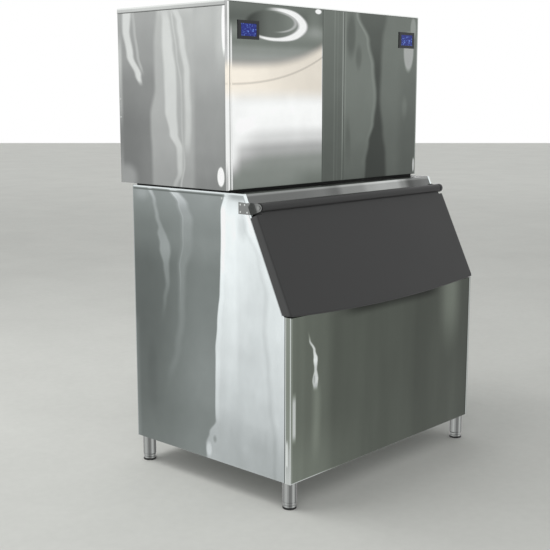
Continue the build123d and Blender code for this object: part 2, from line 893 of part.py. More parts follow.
def water_spreader(side):
    """Open channel over the evaporator, notched along its front edge, with an ear at each end."""
    x0, x1 = side * bay_centre_x - spreader_end_x, side * bay_centre_x + spreader_end_x
    y0 = evaporator_front_y
    z0, z1 = evaporator_top_z, evaporator_top_z + spreader_height
    solid = block(x0, x1, y0, y0 + spreader_depth, z0, z1)
    w = spreader_wall
    solid -= block(x0 + w, x1 - w, y0 + w, y0 + spreader_depth - w, z0 + w, z1 + 1)
    for column in range(cells_across):
        x = side * bay_centre_x + (column - (cells_across - 1) / 2) * cell_pitch
        half = spreader_notch / 2
        solid -= block(x - half, x + half, y0 - 1, y0 + w + 0.5, z1 - spreader_notch, z1 + 1)
    for x in (x0, x1 - w * 2):
        ear = block(x, x + w * 2, curtain_y - pin_radius - 4, y0, z0, z1)
        solid += ear - rod_x(x - 1, x + w * 2 + 1, curtain_y, curtain_axis_z, pin_radius + pin_clearance)
    return solid


def splash_curtain(side):
    """Curtain that hangs on two pins in front of the evaporator, with its foot bent forward."""
    half = spreader_end_x - spreader_wall * 2 - 1.0
    low = evaporator_base_z - curtain_drop
    t = curtain_thickness / 2
    outline = [
        (curtain_y - t, curtain_axis_z + pin_radius + 2),
        (curtain_y + t, curtain_axis_z + pin_radius + 2),
        (curtain_y + t, low),
        (curtain_y + t - curtain_lead, low - curtain_lead),
        (curtain_y - t - curtain_lead, low - curtain_lead),
        (curtain_y - t, low),
    ]
    x0 = side * bay_centre_x
    solid = side_prism(outline, x0 - half, x0 + half)
    for end in (-1, 1):
        x_in = x0 + end * (half - 4)
        x_out = x0 + end * (half + pin_length - 2)
        solid += rod_x(x_in, x_out, curtain_y, curtain_axis_z, pin_radius)
    return solid


def trough_span(side):
    """X range of a water trough, which runs on outboard of the evaporator to hold the pump."""
    inner = side * (bay_centre_x - evaporator_width / 2 - trough_end_gap)
    return sorted((inner, side * trough_outboard))


def trough_outline(inset):
    """Side view of a trough with a sloping front wall."""
    top = trough_top_z + (1 if inset else 0)
    low = trough_base_z + inset
    return [
        (trough_front_y + inset, top),
        (trough_front_y + trough_slant + inset, low),
        (trough_back_y - inset, low),
        (trough_back_y - inset, top),
    ]


def water_trough(side):
    """Open trough below the evaporator, with a shelf on the compartment wall."""
    x0, x1 = trough_span(side)
    t = trough_wall
    solid = side_prism(trough_outline(0), x0, x1) - side_prism(trough_outline(t), x0 + t, x1 - t)
    return solid + block(x0, x1, trough_back_y, wall_front_y, trough_top_z - t, trough_top_z)


def circulation_pumps():
    """Two small pumps that stand in the outboard ends of the troughs on a cover plate."""
    pumps = []
    z1 = trough_top_z + trough_wall
    for side in (-1, 1):
        x = side * pump_x
        inner = side * (bay_centre_x + evaporator_width / 2 + trough_end_gap)
        x0, x1 = sorted((inner, side * trough_outboard))
        cover = block(x0, x1, trough_front_y, wall_front_y, trough_top_z, z1)
        motor = rod_z(x, pump_y, z1, z1 + pump_height, pump_radius)
        neck = rod_z(x, pump_y, trough_base_z + pump_floor_gap, trough_top_z, pump_neck_radius)
        pumps.append(cover + motor + neck)
    return group(pumps)


def compressor(side):
    """Hermetic compressor: a steel can with a stepped crown, on a foot plate with four mounts."""
    plate_z = base_pan_top_z + grommet_height
    base = plate_z + compressor_foot_thickness
    shoulder = compressor_top_z - compressor_crown
    shell = rod_z(0, 0, base, shoulder, compressor_radius)
    shell += rod_z(0, 0, shoulder, compressor_top_z, compressor_crown_radius)
    dx, dy = compressor_foot / 2, compressor_foot_depth / 2
    solid = shell + block(-dx, dx, -dy, dy, plate_z, base)
    for x in (-dx, dx - grommet_width):
        for y in (-dy, dy - grommet_width):
            solid += block(x, x + grommet_width, y, y + grommet_width, base_pan_top_z, plate_z)
    return Pos(side * compressor_inset_x, compressor_y, 0) * solid


def condenser(side):
    """Condenser coil: a finned block between two end plates that stand on the base."""
    x0 = side * bay_centre_x - condenser_width / 2
    x1 = x0 + condenser_width
    y0, y1 = condenser_front_y, condenser_back_y
    z0, z1 = condenser_base_z, condenser_base_z + condenser_height
    solid = block(x0, x1, y0, y1, z0, z1)
    pitch = condenser_width / condenser_fins
    grooves = []
    for i in range(condenser_fins):
        x = x0 + (i + 0.5) * pitch
        w = pitch * 0.35
        grooves.append(block(x - w, x + w, y0 - 1, y0 + condenser_fin_groove, z0 - 1, z1 + 1))
        grooves.append(block(x - w, x + w, y1 - condenser_fin_groove, y1 + 1, z0 - 1, z1 + 1))
    solid = solid - grooves
    for x in (x0 - condenser_end_plate, x1):
        solid += block(x, x + condenser_end_plate, y0, y1 + condenser_end_lap, base_pan_top_z, z1)
    return solid


def fan_motors():
    """Two fan motors, each on a strap across the condenser's end plates, with the fan's shaft."""
    motors = []
    for side in (-1, 1):
        x = side * bay_centre_x
        half = condenser_width / 2 + condenser_end_plate
        y0 = strap_y
        y1 = y0 + motor_strap_thickness
        rise = motor_strap_width / 2
        strap = block(x - half, x + half, y0, y1, fan_z - rise, fan_z + rise)
        body = rod_y(x, y1, y1 + motor_length, fan_z, motor_radius)
        shaft_end = fan_span()[1] - 3
        motors.append(strap + body + rod_y(x, y1 + motor_length - 1, shaft_end, fan_z, shaft_radius))
    return group(motors)


def fan_span():
    """Y range of a fan between its motor and the back panel."""
    return strap_y + motor_strap_thickness + motor_length + fan_front_gap, head_panel_y - fan_back_gap


def fan(side):
    """Axial fan: a hub with pitched blades that widen to a round tip."""
    y0, y1 = fan_span()
    hub = rod_y(0, y0, y1, 0, fan_hub_radius)
    swing = (y0 + y1) / 2
    reach = fan_radius - fan_hub_radius + 6
    tip = fan_blade_chord / 2
    root = fan_hub_radius * 0.55
    z0 = fan_hub_radius - 6
    outline = Polyline((-root, 0), (-tip, reach - 12))
    outline += ThreePointArc((-tip, reach - 12), (0, reach), (tip, reach - 12))
    outline += Polyline((tip, reach - 12), (root, 0), (-root, 0))
    blade_plate = extrude(make_face(outline), amount=fan_blade_thickness / 2, both=True)
    depth = y1 - y0
    keep = block(-fan_radius, fan_radius, -depth / 2, depth / 2, -fan_radius, fan_radius)
    blade = Rot(90, 0, 0) * blade_plate
    blade = Rot(0, 0, fan_blade_pitch_deg) * blade
    blade = (Pos(0, 0, z0) * blade) & keep
    solid = hub
    for i in range(fan_blades):
        solid += Pos(0, swing, 0) * Rot(0, i * 360 / fan_blades, 0) * blade
    solid -= rod_y(0, y0 - 1, y1 - 1, 0, shaft_radius + shaft_clearance)
    return Pos(side * bay_centre_x, 0, fan_z) * solid


def tube_path(points, radius):
    """Round tube along straight runs, with each corner turned in two mitred steps."""
    corners = [Vector(*point) for point in points]
    route = [corners[0]]
    for before, corner, after in zip(corners, corners[1:], corners[2:]):
        route.append(corner + (before - corner).normalized() * tube_bend)
        route.append(corner + (after - corner).normalized() * tube_bend)
    route.append(corners[-1])
    section = Plane(origin=route[0], z_dir=route[1] - route[0]) * Circle(radius)
    return sweep(section, path=Polyline(*route), transition=Transition.RIGHT)


def refrigerant_lines():
    """For each module, the suction line from the evaporator and the discharge line to the condenser."""
    lines = []
    for side in (-1, 1):
        start_x = side * (compressor_inset_x - compressor_tube_inset)
        end_x = side * (bay_centre_x - condenser_width / 2 - condenser_end_plate - tube_gap)
        rise_z = compressor_top_z + discharge_rise
        end_y = condenser_front_y + discharge_inset
        discharge = [
            (start_x, compressor_y, compressor_top_z),
            (start_x, compressor_y, rise_z),
            (end_x - side * discharge_lead, end_y, rise_z),
            (end_x, end_y, rise_z),
        ]
        lines.append(tube_path(discharge, tube_radius))
        back = evaporator_front_y + evaporator_depth
        suction = [
            (side * suction_x, back, suction_z),
            (side * suction_x, compressor_y, suction_z),
            (side * suction_x, compressor_y, compressor_top_z),
        ]
        lines.append(tube_path(suction, tube_radius))
    return group(lines)


def water_lines():
    """Feed tube from each pump to its spreader, and the inlet valve with its tail through the back panel."""
    pieces = []
    for side in (-1, 1):
        x = side * pump_x
        z0 = trough_top_z + trough_wall + pump_height
        z1 = curtain_axis_z
        end = side * (bay_centre_x + spreader_end_x)
        pieces.append(tube_path([(x, pump_y, z0), (x, pump_y, z1), (end, pump_y, z1)], tube_radius))
    tail_radius = inlet_radius - inlet_hole_clearance
    collar_radius = inlet_radius + inlet_collar_wall
    panel_back_y = head_back_y - sheet
    collar_y = panel_back_y + inlet_collar
    tail_y = head_back_y + inlet_reach
    nut_y = head_panel_y - inlet_nut
    half = inlet_valve / 2
    valve = block(inlet_x - half, inlet_x + half, nut_y - inlet_valve, nut_y, inlet_z - half, inlet_z + half)
    valve += rod_y(inlet_x, nut_y, head_panel_y, inlet_z, collar_radius)
    valve += rod_y(inlet_x, head_panel_y, panel_back_y, inlet_z, tail_radius)
    valve += rod_y(inlet_x, panel_back_y, collar_y, inlet_z, collar_radius)
    pieces.append(valve)
    tail = rod_y(inlet_x, collar_y, tail_y, inlet_z, tail_radius)
    pieces.append(tail - rod_y(inlet_x, collar_y, tail_y + 1, inlet_z, inlet_bore_radius))
    return group(pieces)


def build_nodes():
    """Every node of the machine, by name."""
    nodes = {}
    sides = {"left": -1, "right": 1}
    for name, side in sides.items():
        nodes[f"bin_side_{name}"] = bin_side(side)
    nodes["bin_front_panel"] = bin_front()
    nodes["bin_back_panel"] = bin_back()
    nodes["bin_floor_pan"] = bin_floor()
    nodes["bin_top_panel"] = bin_top_panel()
    nodes["bin_liner"] = bin_liner()
    nodes["bin_insulation"] = bin_insulation([nodes["bin_side_left"], nodes["bin_side_right"]])
    nodes["bin_drain_spout"] = bin_drain()
    for name, side in sides.items():
        nodes[f"hinge_bracket_{name}"] = hinge_bracket(side)
    nodes["leg_tubes"] = leg_tubes()
    for name, (x, y) in leg_places().items():
        nodes[f"foot_{name}"] = foot(x, y)
        nodes[f"foot_pad_{name}"] = foot_pad(x, y)
    nodes["door_shell"] = door_shell()
    nodes["door_inner_panel"] = door_inner_panel()
    nodes["door_gasket"] = door_gasket()
    nodes["hinge_rod"] = hinge_rod()
    nodes["rod_end_knob"] = rod_end_knob()
    nodes["seat_gasket"] = seat_gasket()
    nodes["head_base_pan"] = head_base_pan()
    for name, side in sides.items():
        nodes[f"head_side_{name}"] = head_side(side)
        nodes[f"head_front_{name}"] = head_front(side)
    nodes["head_top_cover"] = head_top_cover()
    nodes["head_back_panel"] = head_back_panel()
    nodes["head_centre_strip"] = head_centre_strip()
    nodes["display_bezel_left"] = display_bezel(display_left_x)
    nodes["display_bezel_right"] = display_bezel(display_right_x)
    nodes["display_windows"] = display_windows()
    nodes["compartment_wall"] = compartment_wall()
    nodes["bay_divider"] = bay_divider()
    nodes["control_box"] = control_box()
    for name, side in sides.items():
        nodes[f"evaporator_{name}"] = evaporator(side)
        nodes[f"water_spreader_{name}"] = water_spreader(side)
        nodes[f"splash_curtain_{name}"] = splash_curtain(side)
        nodes[f"water_trough_{name}"] = water_trough(side)
        nodes[f"compressor_{name}"] = compressor(side)
        nodes[f"condenser_{name}"] = condenser(side)
        nodes[f"fan_{name}"] = fan(side)
    nodes["circulation_pumps"] = circulation_pumps()
    nodes["fan_motors"] = fan_motors()
    nodes["refrigerant_lines"] = refrigerant_lines()
    nodes["water_lines"] = water_lines()
    return nodes


def main():
    os.makedirs("parts", exist_ok=True)
    nose_y = axis_offset(door_low, face_out(door_low))[0]
    middle_y = (nose_y + head_back_y + inlet_reach) / 2
    shift = Pos(0, -middle_y, 0)
    print("moved along Y by", round(-middle_y, 3))
    print("hinge axis at", round(axis_y - middle_y, 3), round(axis_z, 3))
    print("curtain axis at", round(curtain_y - middle_y, 3), curtain_axis_z, "fan centre z", fan_z)
    for name, shape in build_nodes().items():
        export_step(shift * shape, f"parts/{name}.step")


main()
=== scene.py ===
import math

import bpy
import numpy as np
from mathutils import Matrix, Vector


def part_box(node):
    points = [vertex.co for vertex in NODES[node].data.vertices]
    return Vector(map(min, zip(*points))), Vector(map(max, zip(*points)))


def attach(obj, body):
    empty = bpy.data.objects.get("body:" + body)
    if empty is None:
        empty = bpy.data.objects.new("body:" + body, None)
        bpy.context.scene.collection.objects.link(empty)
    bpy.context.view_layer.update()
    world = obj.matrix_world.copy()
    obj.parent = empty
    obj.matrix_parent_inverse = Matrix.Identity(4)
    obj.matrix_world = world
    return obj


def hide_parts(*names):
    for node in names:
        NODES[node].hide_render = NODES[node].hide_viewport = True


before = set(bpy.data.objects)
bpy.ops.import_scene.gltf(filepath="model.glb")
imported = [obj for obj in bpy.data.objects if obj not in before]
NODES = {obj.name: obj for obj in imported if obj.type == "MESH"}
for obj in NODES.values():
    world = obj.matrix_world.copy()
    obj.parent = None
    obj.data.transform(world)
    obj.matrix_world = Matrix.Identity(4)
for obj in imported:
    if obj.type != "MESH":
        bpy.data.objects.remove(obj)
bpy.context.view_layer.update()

bl_info = {
    "name": "Cube ice machine finish",
    "version": (1, 0, 0),
    "blender": (4, 5, 0),
    "location": "View3D > Sidebar > Ice machine",
    "description": "Sheet finishes, fasteners, feet and studio for a cube ice machine",
    "category": "Object",
}

MM = 0.001

# Distance along Y from the bin's middle to the origin of the machine's frame
BIN_MIDDLE_Y = -0.039965
HALF_WIDTH = 0.610
BIN_BASE_Z = 0.108
BIN_TOP_Z = 1.194
HEAD_BASE_Z = 1.200
DECK_FRONT_Y = -0.204 + BIN_MIDDLE_Y
SLOPE_DEG = 24.8
# Gain of the painted greys, which makes up for what the room reflects less than white
GLOSS = 1.0
HINGE_Y = -0.304191
HINGE_Z = 1.144717


# Values that vary over a surface


class Level:
    """A number that varies over a surface. Arithmetic on it adds Math nodes to its material."""

    def __init__(self, tree, socket):
        self.tree = tree
        self.socket = socket

    def math(self, operation, *others):
        node = self.tree.nodes.new("ShaderNodeMath")
        node.operation = operation
        for slot, value in zip(node.inputs, (self,) + others):
            feed(self.tree, value, slot)
        return Level(self.tree, node.outputs[0])

    def __add__(self, other):
        return self.math("ADD", other)

    def __sub__(self, other):
        return self.math("SUBTRACT", other)

    def __mul__(self, other):
        return self.math("MULTIPLY", other)

    def __rsub__(self, other):
        return (self * -1.0) + other

    __radd__ = __add__
    __rmul__ = __mul__

    def power(self, exponent):
        return self.math("POWER", exponent)

    def size(self):
        return self.math("ABSOLUTE")


def feed(tree, value, slot):
    """Links a Level into a socket, or writes a plain number there."""
    if isinstance(value, Level):
        tree.links.new(value.socket, slot)
    else:
        slot.default_value = value


def rise(x, low, high):
    """0 at low and 1 at high, with a smooth step between; low may be the larger."""
    node = x.tree.nodes.new("ShaderNodeMapRange")
    node.interpolation_type = "SMOOTHSTEP"
    feed(x.tree, x, node.inputs["Value"])
    node.inputs["From Min"].default_value = low
    node.inputs["From Max"].default_value = high
    return Level(x.tree, node.outputs["Result"])


def band(x, centre, half, soft):
    """1 within half of the centre line, falling to 0 over the soft edge."""
    return rise((x - centre).size(), half + soft / 2, max(half - soft / 2, 0.0))


def blob(x, z, x0, z0, rx, rz, soft=0.6):
    """1 inside an ellipse, falling to 0 at its rim: the length of the scaled offset from its centre."""
    dx, dz = (x - x0) * (1 / rx), (z - z0) * (1 / rz)
    return rise((dx * dx + dz * dz).power(0.5), 1.0, 1.0 - soft)


def path(x, *points):
    """Smooth line through a few (x, value) points, as a sum of smooth steps."""
    value = points[0][1]
    for (x0, v0), (x1, v1) in zip(points, points[1:]):
        value = rise(x, x0, x1) * (v1 - v0) + value
    return value


def over(under, mask, top):
    """The top value where the mask is 1 and the one under it where it is 0."""
    node = mask.tree.nodes.new("ShaderNodeMix")
    feed(mask.tree, mask, node.inputs["Factor"])
    feed(mask.tree, under, node.inputs["A"])
    feed(mask.tree, top, node.inputs["B"])
    return Level(mask.tree, node.outputs["Result"])


class Finish:
    """A node material with the machine's coordinates in millimetres and a Principled shader."""

    def __init__(self, name):
        self.material = bpy.data.materials.new(name)
        self.material.use_nodes = True
        self.tree = self.material.node_tree
        self.shader = self.tree.nodes["Principled BSDF"]
        self.place = self.tree.nodes.new("ShaderNodeTexCoord").outputs["Object"]
        split = self.tree.nodes.new("ShaderNodeSeparateXYZ")
        self.tree.links.new(self.place, split.inputs[0])
        self.x, self.y, self.z = (Level(self.tree, out) * 1000.0 for out in split.outputs)

    def noise(self, scale, detail=2.0, stretch=(1, 1, 1), shift=0.0, rough=0.5):
        """Noise between about 0 and 1; scale counts its lumps in a metre, stretch divides them along an axis."""
        mapping = self.tree.nodes.new("ShaderNodeMapping")
        mapping.inputs["Scale"].default_value = [1 / s for s in stretch]
        mapping.inputs["Location"].default_value = (shift, shift, shift)
        self.tree.links.new(self.place, mapping.inputs["Vector"])
        node = self.tree.nodes.new("ShaderNodeTexNoise")
        self.tree.links.new(mapping.outputs[0], node.inputs["Vector"])
        node.inputs["Scale"].default_value = scale
        node.inputs["Detail"].default_value = detail
        node.inputs["Roughness"].default_value = rough
        return Level(self.tree, node.outputs[0])

    def grey(self, level, tint=(1.0, 1.0, 1.0)):
        """Colour of a display grey from 0 to 255, times a tint, in linear light."""
        node = self.tree.nodes.new("ShaderNodeVectorMath")
        node.operation = "SCALE"
        if isinstance(tint, tuple):
            node.inputs[0].default_value = tint
        else:
            self.tree.links.new(tint, node.inputs[0])
        feed(self.tree, (level * (1 / 255)).math("MAXIMUM", 0.0).power(2.2), node.inputs["Scale"])
        return node.outputs[0]

    def mix_tints(self, mask, tint, other):
        """Tint vector between two tints."""
        node = self.tree.nodes.new("ShaderNodeMix")
        node.data_type = "VECTOR"
        feed(self.tree, mask, node.inputs["Factor"])
        vectors = [s for s in node.inputs if s.type == "VECTOR"]
        sources = (tint, other)
        for slot, value in zip([s for s in vectors if s.name in "AB"], sources):
            if isinstance(value, tuple):
                slot.default_value = value
            else:
                self.tree.links.new(value, slot)
        return [s for s in node.outputs if s.type == "VECTOR"][0]

    def colour(self, output):
        self.tree.links.new(output, self.shader.inputs["Base Color"])

    def rough(self, value):
        feed(self.tree, value, self.shader.inputs["Roughness"])

    def bump(self, height, distance, strength=1.0):
        """Bump from a height between 0 and 1, for a relief of so many metres."""
        node = self.tree.nodes.new("ShaderNodeBump")
        node.inputs["Distance"].default_value = distance
        node.inputs["Strength"].default_value = strength
        feed(self.tree, height, node.inputs["Height"])
        self.tree.links.new(node.outputs[0], self.shader.inputs["Normal"])

    def metal(self, specular=0.5):
        self.shader.inputs["Metallic"].default_value = 1.0
        self.shader.inputs["Specular IOR Level"].default_value = specular

    def plastic(self, specular, rough):
        self.shader.inputs["Metallic"].default_value = 0.0
        self.shader.inputs["Specular IOR Level"].default_value = specular
        self.rough(rough)


def dress(material, *names):
    """Gives CAD nodes one material."""
    for name in names:
        mesh = NODES[name].data
        mesh.materials.clear()
        mesh.materials.append(material)


# Shapes


def add_object(name, parts, body, material):
    """Joins (faces, points) parts into one smooth-shaded piece that rides on a body."""
    points, faces, start = [], [], 0
    for part_faces, part_points in parts:
        faces += [[start + i for i in face] for face in part_faces]
        points.append(part_points)
        start += len(part_points)
    mesh = bpy.data.meshes.new(name)
    mesh.from_pydata(np.concatenate(points).tolist(), [], faces)
    mesh.update()
    mesh.materials.append(material)
    mesh.polygons.foreach_set("use_smooth", [True] * len(mesh.polygons))
    mesh.set_sharp_from_angle(angle=math.radians(35))
    piece = bpy.data.objects.new(name, mesh)
    bpy.context.scene.collection.objects.link(piece)
    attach(piece, body)
    return piece


def turned(profile, around, centre, axis):
    """Rings of a profile of (radius, height) points turned about an axis through a centre.

    A point is centre + height * axis + radius * (cos(t) * u + sin(t) * v), t from 0 to a full
    turn, where u, v and the axis are square to each other and turn right-handed."""
    profile = np.asarray(profile, float)
    axis = np.asarray(axis, float)
    u = np.cross(axis, (0.0, 1.0, 0.0) if abs(axis[1]) < 0.9 else (1.0, 0.0, 0.0))
    u /= np.linalg.norm(u)
    v = np.cross(axis, u)
    t = np.linspace(0, 2 * math.pi, around, endpoint=False)
    circle = np.cos(t)[:, None] * u + np.sin(t)[:, None] * v
    return np.asarray(centre) + profile[:, 1][:, None, None] * axis + profile[:, 0][:, None, None] * circle


def dome_profile(radius, height, rings=6, tip=0.12):
    """Quarter ellipse: radius * cos(a), height * sin(a), from a short wall to a small flat tip."""
    a = np.linspace(0, math.acos(tip), rings)
    wall = [(radius, -0.0004)]
    return wall + list(zip(radius * np.cos(a), height * np.sin(a)))


def eased(profile, radius, steps=4):
    """Profile with each inner corner rounded: points run on a curve between two points beside it.

    Point = (1 - s)^2 * before + 2 s (1 - s) * corner + s^2 * after, the quadratic curve."""
    points = np.asarray(profile, float)
    s = np.linspace(0, 1, steps)[:, None]
    out = [points[:1]]
    for before, corner, after in zip(points, points[1:], points[2:]):
        d0, d1 = before - corner, after - corner
        l0, l1 = np.linalg.norm(d0), np.linalg.norm(d1)
        p0 = corner + d0 / l0 * min(radius, l0 * 0.45)
        p1 = corner + d1 / l1 * min(radius, l1 * 0.45)
        out.append((1 - s) ** 2 * p0 + 2 * s * (1 - s) * corner + s**2 * p1)
    out.append(points[-1:])
    return np.concatenate(out)


def slope_line_y(z):
    """Y of the bin's sloping front at a height."""
    return DECK_FRONT_Y + (z - BIN_TOP_Z) * math.tan(math.radians(SLOPE_DEG))


# Steel finishes


def steel_surface(finish, level, tint, grain=(1, 1, 1), rough=0.2, wave=0.0022):
    """Bright polished sheet: the level's grey, which carries the painted reflections, a fine grain along the sheet and
    a slow waviness.
    """
    fine = finish.noise(900.0, 2.0, grain, 0.3)
    cloud = finish.noise(7.0, 3.0, (1, 1, 1.6), 0.9)
    level = level * ((fine - 0.5) * 0.05 + (cloud - 0.5) * 0.05 + GLOSS)
    finish.colour(finish.grey(level, tint))
    finish.metal()
    finish.rough((fine - 0.5) * 0.10 + rough)
    slow = finish.noise(3.2, 1.0, (1, 1, 1.6), 0.7)
    finish.bump(slow, wave * 4.0, 0.35)


def wander(finish, axis_level, scale, amount, shift):
    """The coordinate pushed to and fro by slow noise, as a wavy sheet does to what it reflects."""
    return (finish.noise(scale, 3.0, (1, 1, 1.8), shift) - 0.5) * amount + axis_level


def head_side_sheet_with_painted_reflections(props):
    finish = Finish("head_side_steel_painted_reflections")
    # The bands, hooks and soft blobs below are painted reflections of the room, and the bright strips along the front
    # edge are painted highlights.
    flat_u = finish.y * -1.0 + (517.5 + BIN_MIDDLE_Y * 1000)
    u = wander(finish, flat_u, 5.0, 26.0, 0.2)
    v = finish.z - HEAD_BASE_Z * 1000
    level = path(v, (0, 126), (230, 127), (400, 140), (520, 158), (700, 170))
    level = over(level, rise(u, 60, 190) * rise(v, 520, 300), level + 8.0)
    level = over(level, band(flat_u, 8, 14, 22) * rise(v, 640, 520), path(v, (0, 160), (200, 134), (330, 172), (520, 196)))
    field_left = path(v, (0, 206), (270, 196), (400, 228), (560, 228), (710, 246))
    field = path(v, (0, 164), (200, 176), (450, 182), (650, 190), (710, 205))
    level = over(level, rise(u - field_left, -14, 14), field)
    right = path(v, (0, 140), (90, 150), (170, 156), (300, 160), (470, 176), (580, 184), (700, 186))
    level = over(level, rise(u, 440, 470), right)
    level = over(level, rise(u, 600, 640) * rise(v, 460, 420), level - 5.0)
    level = over(level, blob(u, v, 520, 660, 140, 160, 0.9), level + 8.0)
    white = path(v, (0, 345), (60, 376), (150, 374), (210, 338), (300, 319), (450, 320), (560, 306), (640, 300), (700, 290))
    width = path(v, (0, 12), (120, 16), (210, 24), (300, 34), (450, 35), (560, 30), (700, 18))
    level = over(level, rise((u - white).size() - width, 10, -10), path(v, (0, 186), (90, 204), (200, 214), (640, 216), (700, 206)))
    outer = path(v, (100, 414), (250, 422), (450, 418), (560, 392), (640, 380), (700, 350))
    level = over(level, band(u, outer, 16, 20) * rise(v, 110, 190), path(v, (150, 200), (450, 213), (640, 217), (700, 214)))
    dark = path(v, (0, 380), (90, 400), (250, 386), (400, 384), (520, 360), (700, 332))
    level = over(level, band(u, dark, 3, 12), path(v, (90, 190), (300, 186), (450, 196), (700, 206)))
    hook = path(v, (395, 142), (440, 126), (520, 78), (620, 52), (700, 58))
    thick = path(v, (400, 8), (450, 17), (560, 20), (700, 26))
    level = over(level, rise((u - hook).size() - thick, 12, -8) * rise(v, 392, 424), 220.0)
    inner_hook = path(v, (430, 158), (520, 128), (620, 108), (700, 98))
    level = over(level, band(u, inner_hook, 8, 14) * rise(v, 430, 480), 184.0)
    level = over(level, blob(u, v, 40, 20, 90, 80), 160.0)
    # A white oval at the lower front corner.
    level = over(level, blob(u, v, 599, 52, 22, 42, 0.25), 262.0)
    # Painted highlights along the front edge.
    level = over(level, rise(flat_u, 560, 604) * rise(v, 420, 580), 200.0)
    level = over(level, blob(flat_u, v, 622, 610, 14, 120, 0.4), 262.0)
    steel_surface(finish, level, finish.mix_tints(rise(level, 120, 200), (0.965, 1.0, 0.98), tuple(props.steel_tint)), (1, 60, 60), props.steel_rough)
    return finish.material


def head_front_sheet_with_painted_reflections(props):
    finish = Finish("head_front_steel_painted_reflections")
    u = finish.x + 610.0
    v = finish.z - HEAD_BASE_Z * 1000
    wavy_v = wander(finish, v, 2.4, 14.0, 0.9)
    # Left panel, painted reflections: a dark top, a warm band, a white band and a grey foot
    across = u * (1 / 547)
    lift = across.power(3.2) * 84.0
    low = path(wavy_v, (0, 135), (50, 139), (100, 146), (150, 176), (195, 220), (250, 252), (310, 254), (360, 238))
    low = over(low, rise(u, 200, 10) * rise(wavy_v, 60, 140) * rise(wavy_v, 300, 200), low + 36.0)
    low = over(low, rise(u, 320, 480) * rise(v, 80, 20), low - 15.0)
    low = over(low, rise(u, 80, 14) * rise(v, 30, 130), 250.0)
    low = over(low, rise(wavy_v, 336, 396), rise(u, 40, 500) * -22.0 + 241.0)
    edge_v = v - lift
    low = over(low, band(edge_v, path(u, (0, 402), (547, 430)), 3, 9), path(u, (0, 210), (547, 190)))
    upper = path(v, (455, 168), (500, 156), (530, 146), (560, 126), (600, 138), (650, 104), (700, 116))
    level = over(low, rise(wander(finish, edge_v, 3.0, 10.0, 1.1), 448, 496), upper)
    level = over(level, blob(u, v, 500, 640, 80, 70, 0.9), level + 22.0)
    # A bright ring and a fainter inner loop: a painted reflection of a round lamp.
    ring_x = (u - 258.0) * (1 / 168)
    ring_z = (v - 631.0) * (1 / 57)
    ring = (ring_x * ring_x + ring_z * ring_z).power(0.5)
    level = over(level, rise(ring, 1.05, 0.85), path(u, (100, 74), (240, 112), (420, 136)))
    ring_width = path(u, (120, 0.03), (260, 0.09), (380, 0.16), (430, 0.13))
    ring_mask = rise((ring - 1.0).size() - ring_width, 0.08, -0.05)
    arm = over(rise(u, 110, 200), rise(v, 610, 650), rise(u, 190, 300))
    level = over(level, ring_mask * arm, 244.0)
    inner_x, inner_z = (u - 262.0) * (1 / 118), (v - 640.0) * (1 / 38)
    inner = (inner_x * inner_x + inner_z * inner_z).power(0.5)
    level = over(level, band(inner, 1.0, 0.05, 0.2) * rise(u, 240, 330), 178.0)
    # Painted highlights: a glint at the top right, and light lines along the folded left edge with a dark line between
    # them.
    level = over(level, blob(u, v, 519, 694, 24, 12, 0.4), 250.0)
    level = over(level, band(u, 4, 4, 3), 246.0)
    level = over(level, band(u, 9.5, 1.5, 2), 130.0)
    level = over(level, band(u, 18, 4, 5) * rise(v, 640, 560), 238.0)
    level = over(level, rise(finish.y, -163.4, -163.9) * rise(u, 5, 0), 250.0)
    # Centre strip: painted reflections, dark, with thin light lines
    strip = path(v, (0, 94), (200, 100), (450, 110), (700, 118))
    strip = over(strip, band(u, 683, 6, 6), path(v, (0, 114), (300, 142), (650, 148)))
    strip = over(strip, band(u, 553, 2, 5), strip + 14.0)
    strip = over(strip, band(u, 626, 3, 6), strip + 14.0)
    strip = over(strip, band(u, 646, 2, 5), strip + 9.0)
    level = over(level, rise(u, 545, 549), strip)
    # Right panel: painted reflections, a wavy bright line with a dark band beside it, and soft patches
    wavy_u = wander(finish, u, 4.6, 26.0, 2.1)
    right = path(v, (0, 101), (90, 107), (200, 116), (440, 123), (560, 121), (700, 122))
    right = over(right, blob(wavy_u, v, 732, 610, 40, 120, 0.6), 102.0)
    right = over(right, blob(wavy_u, v, 786, 520, 30, 70, 0.7), 106.0)
    right = over(right, blob(wavy_u, v, 720, 150, 26, 150, 0.7), 103.0)
    line = path(v, (0, 818), (70, 822), (160, 846), (240, 884), (350, 902), (480, 882), (590, 846), (700, 770))
    plain = path(v, (0, 100), (150, 104), (400, 115), (560, 118), (700, 119))
    plain = over(plain, rise(wavy_u, 1050, 1130) * rise(v, 560, 380), plain - 8.0)
    right = over(right, rise(wavy_u - line, 2, 20), plain)
    dark_right = path(v, (0, 1000), (100, 992), (200, 972), (350, 948), (500, 950), (600, 956), (700, 980))
    dark_mask = rise(wavy_u - line, 8, 30) * rise(wavy_u - dark_right, 16, -22)
    right = over(right, dark_mask, path(v, (0, 69), (200, 73), (440, 80), (600, 92), (700, 99)))
    right = over(right, band(wavy_u, line, 5, 20), path(v, (0, 98), (90, 110), (240, 124), (560, 134), (700, 140)))
    right = over(right, blob(u, v, 1126, 306, 30, 70, 0.8), right + 12.0)
    right = over(right, blob(u, v, 1150, 560, 44, 106, 0.3) * rise(v, 650, 630), 168.0)
    right = over(right, blob(u, v, 1182, 656, 26, 60, 0.4), 150.0)
    right = over(right, band(u, 697, 3, 8) * rise(v, 220, 330), 134.0)
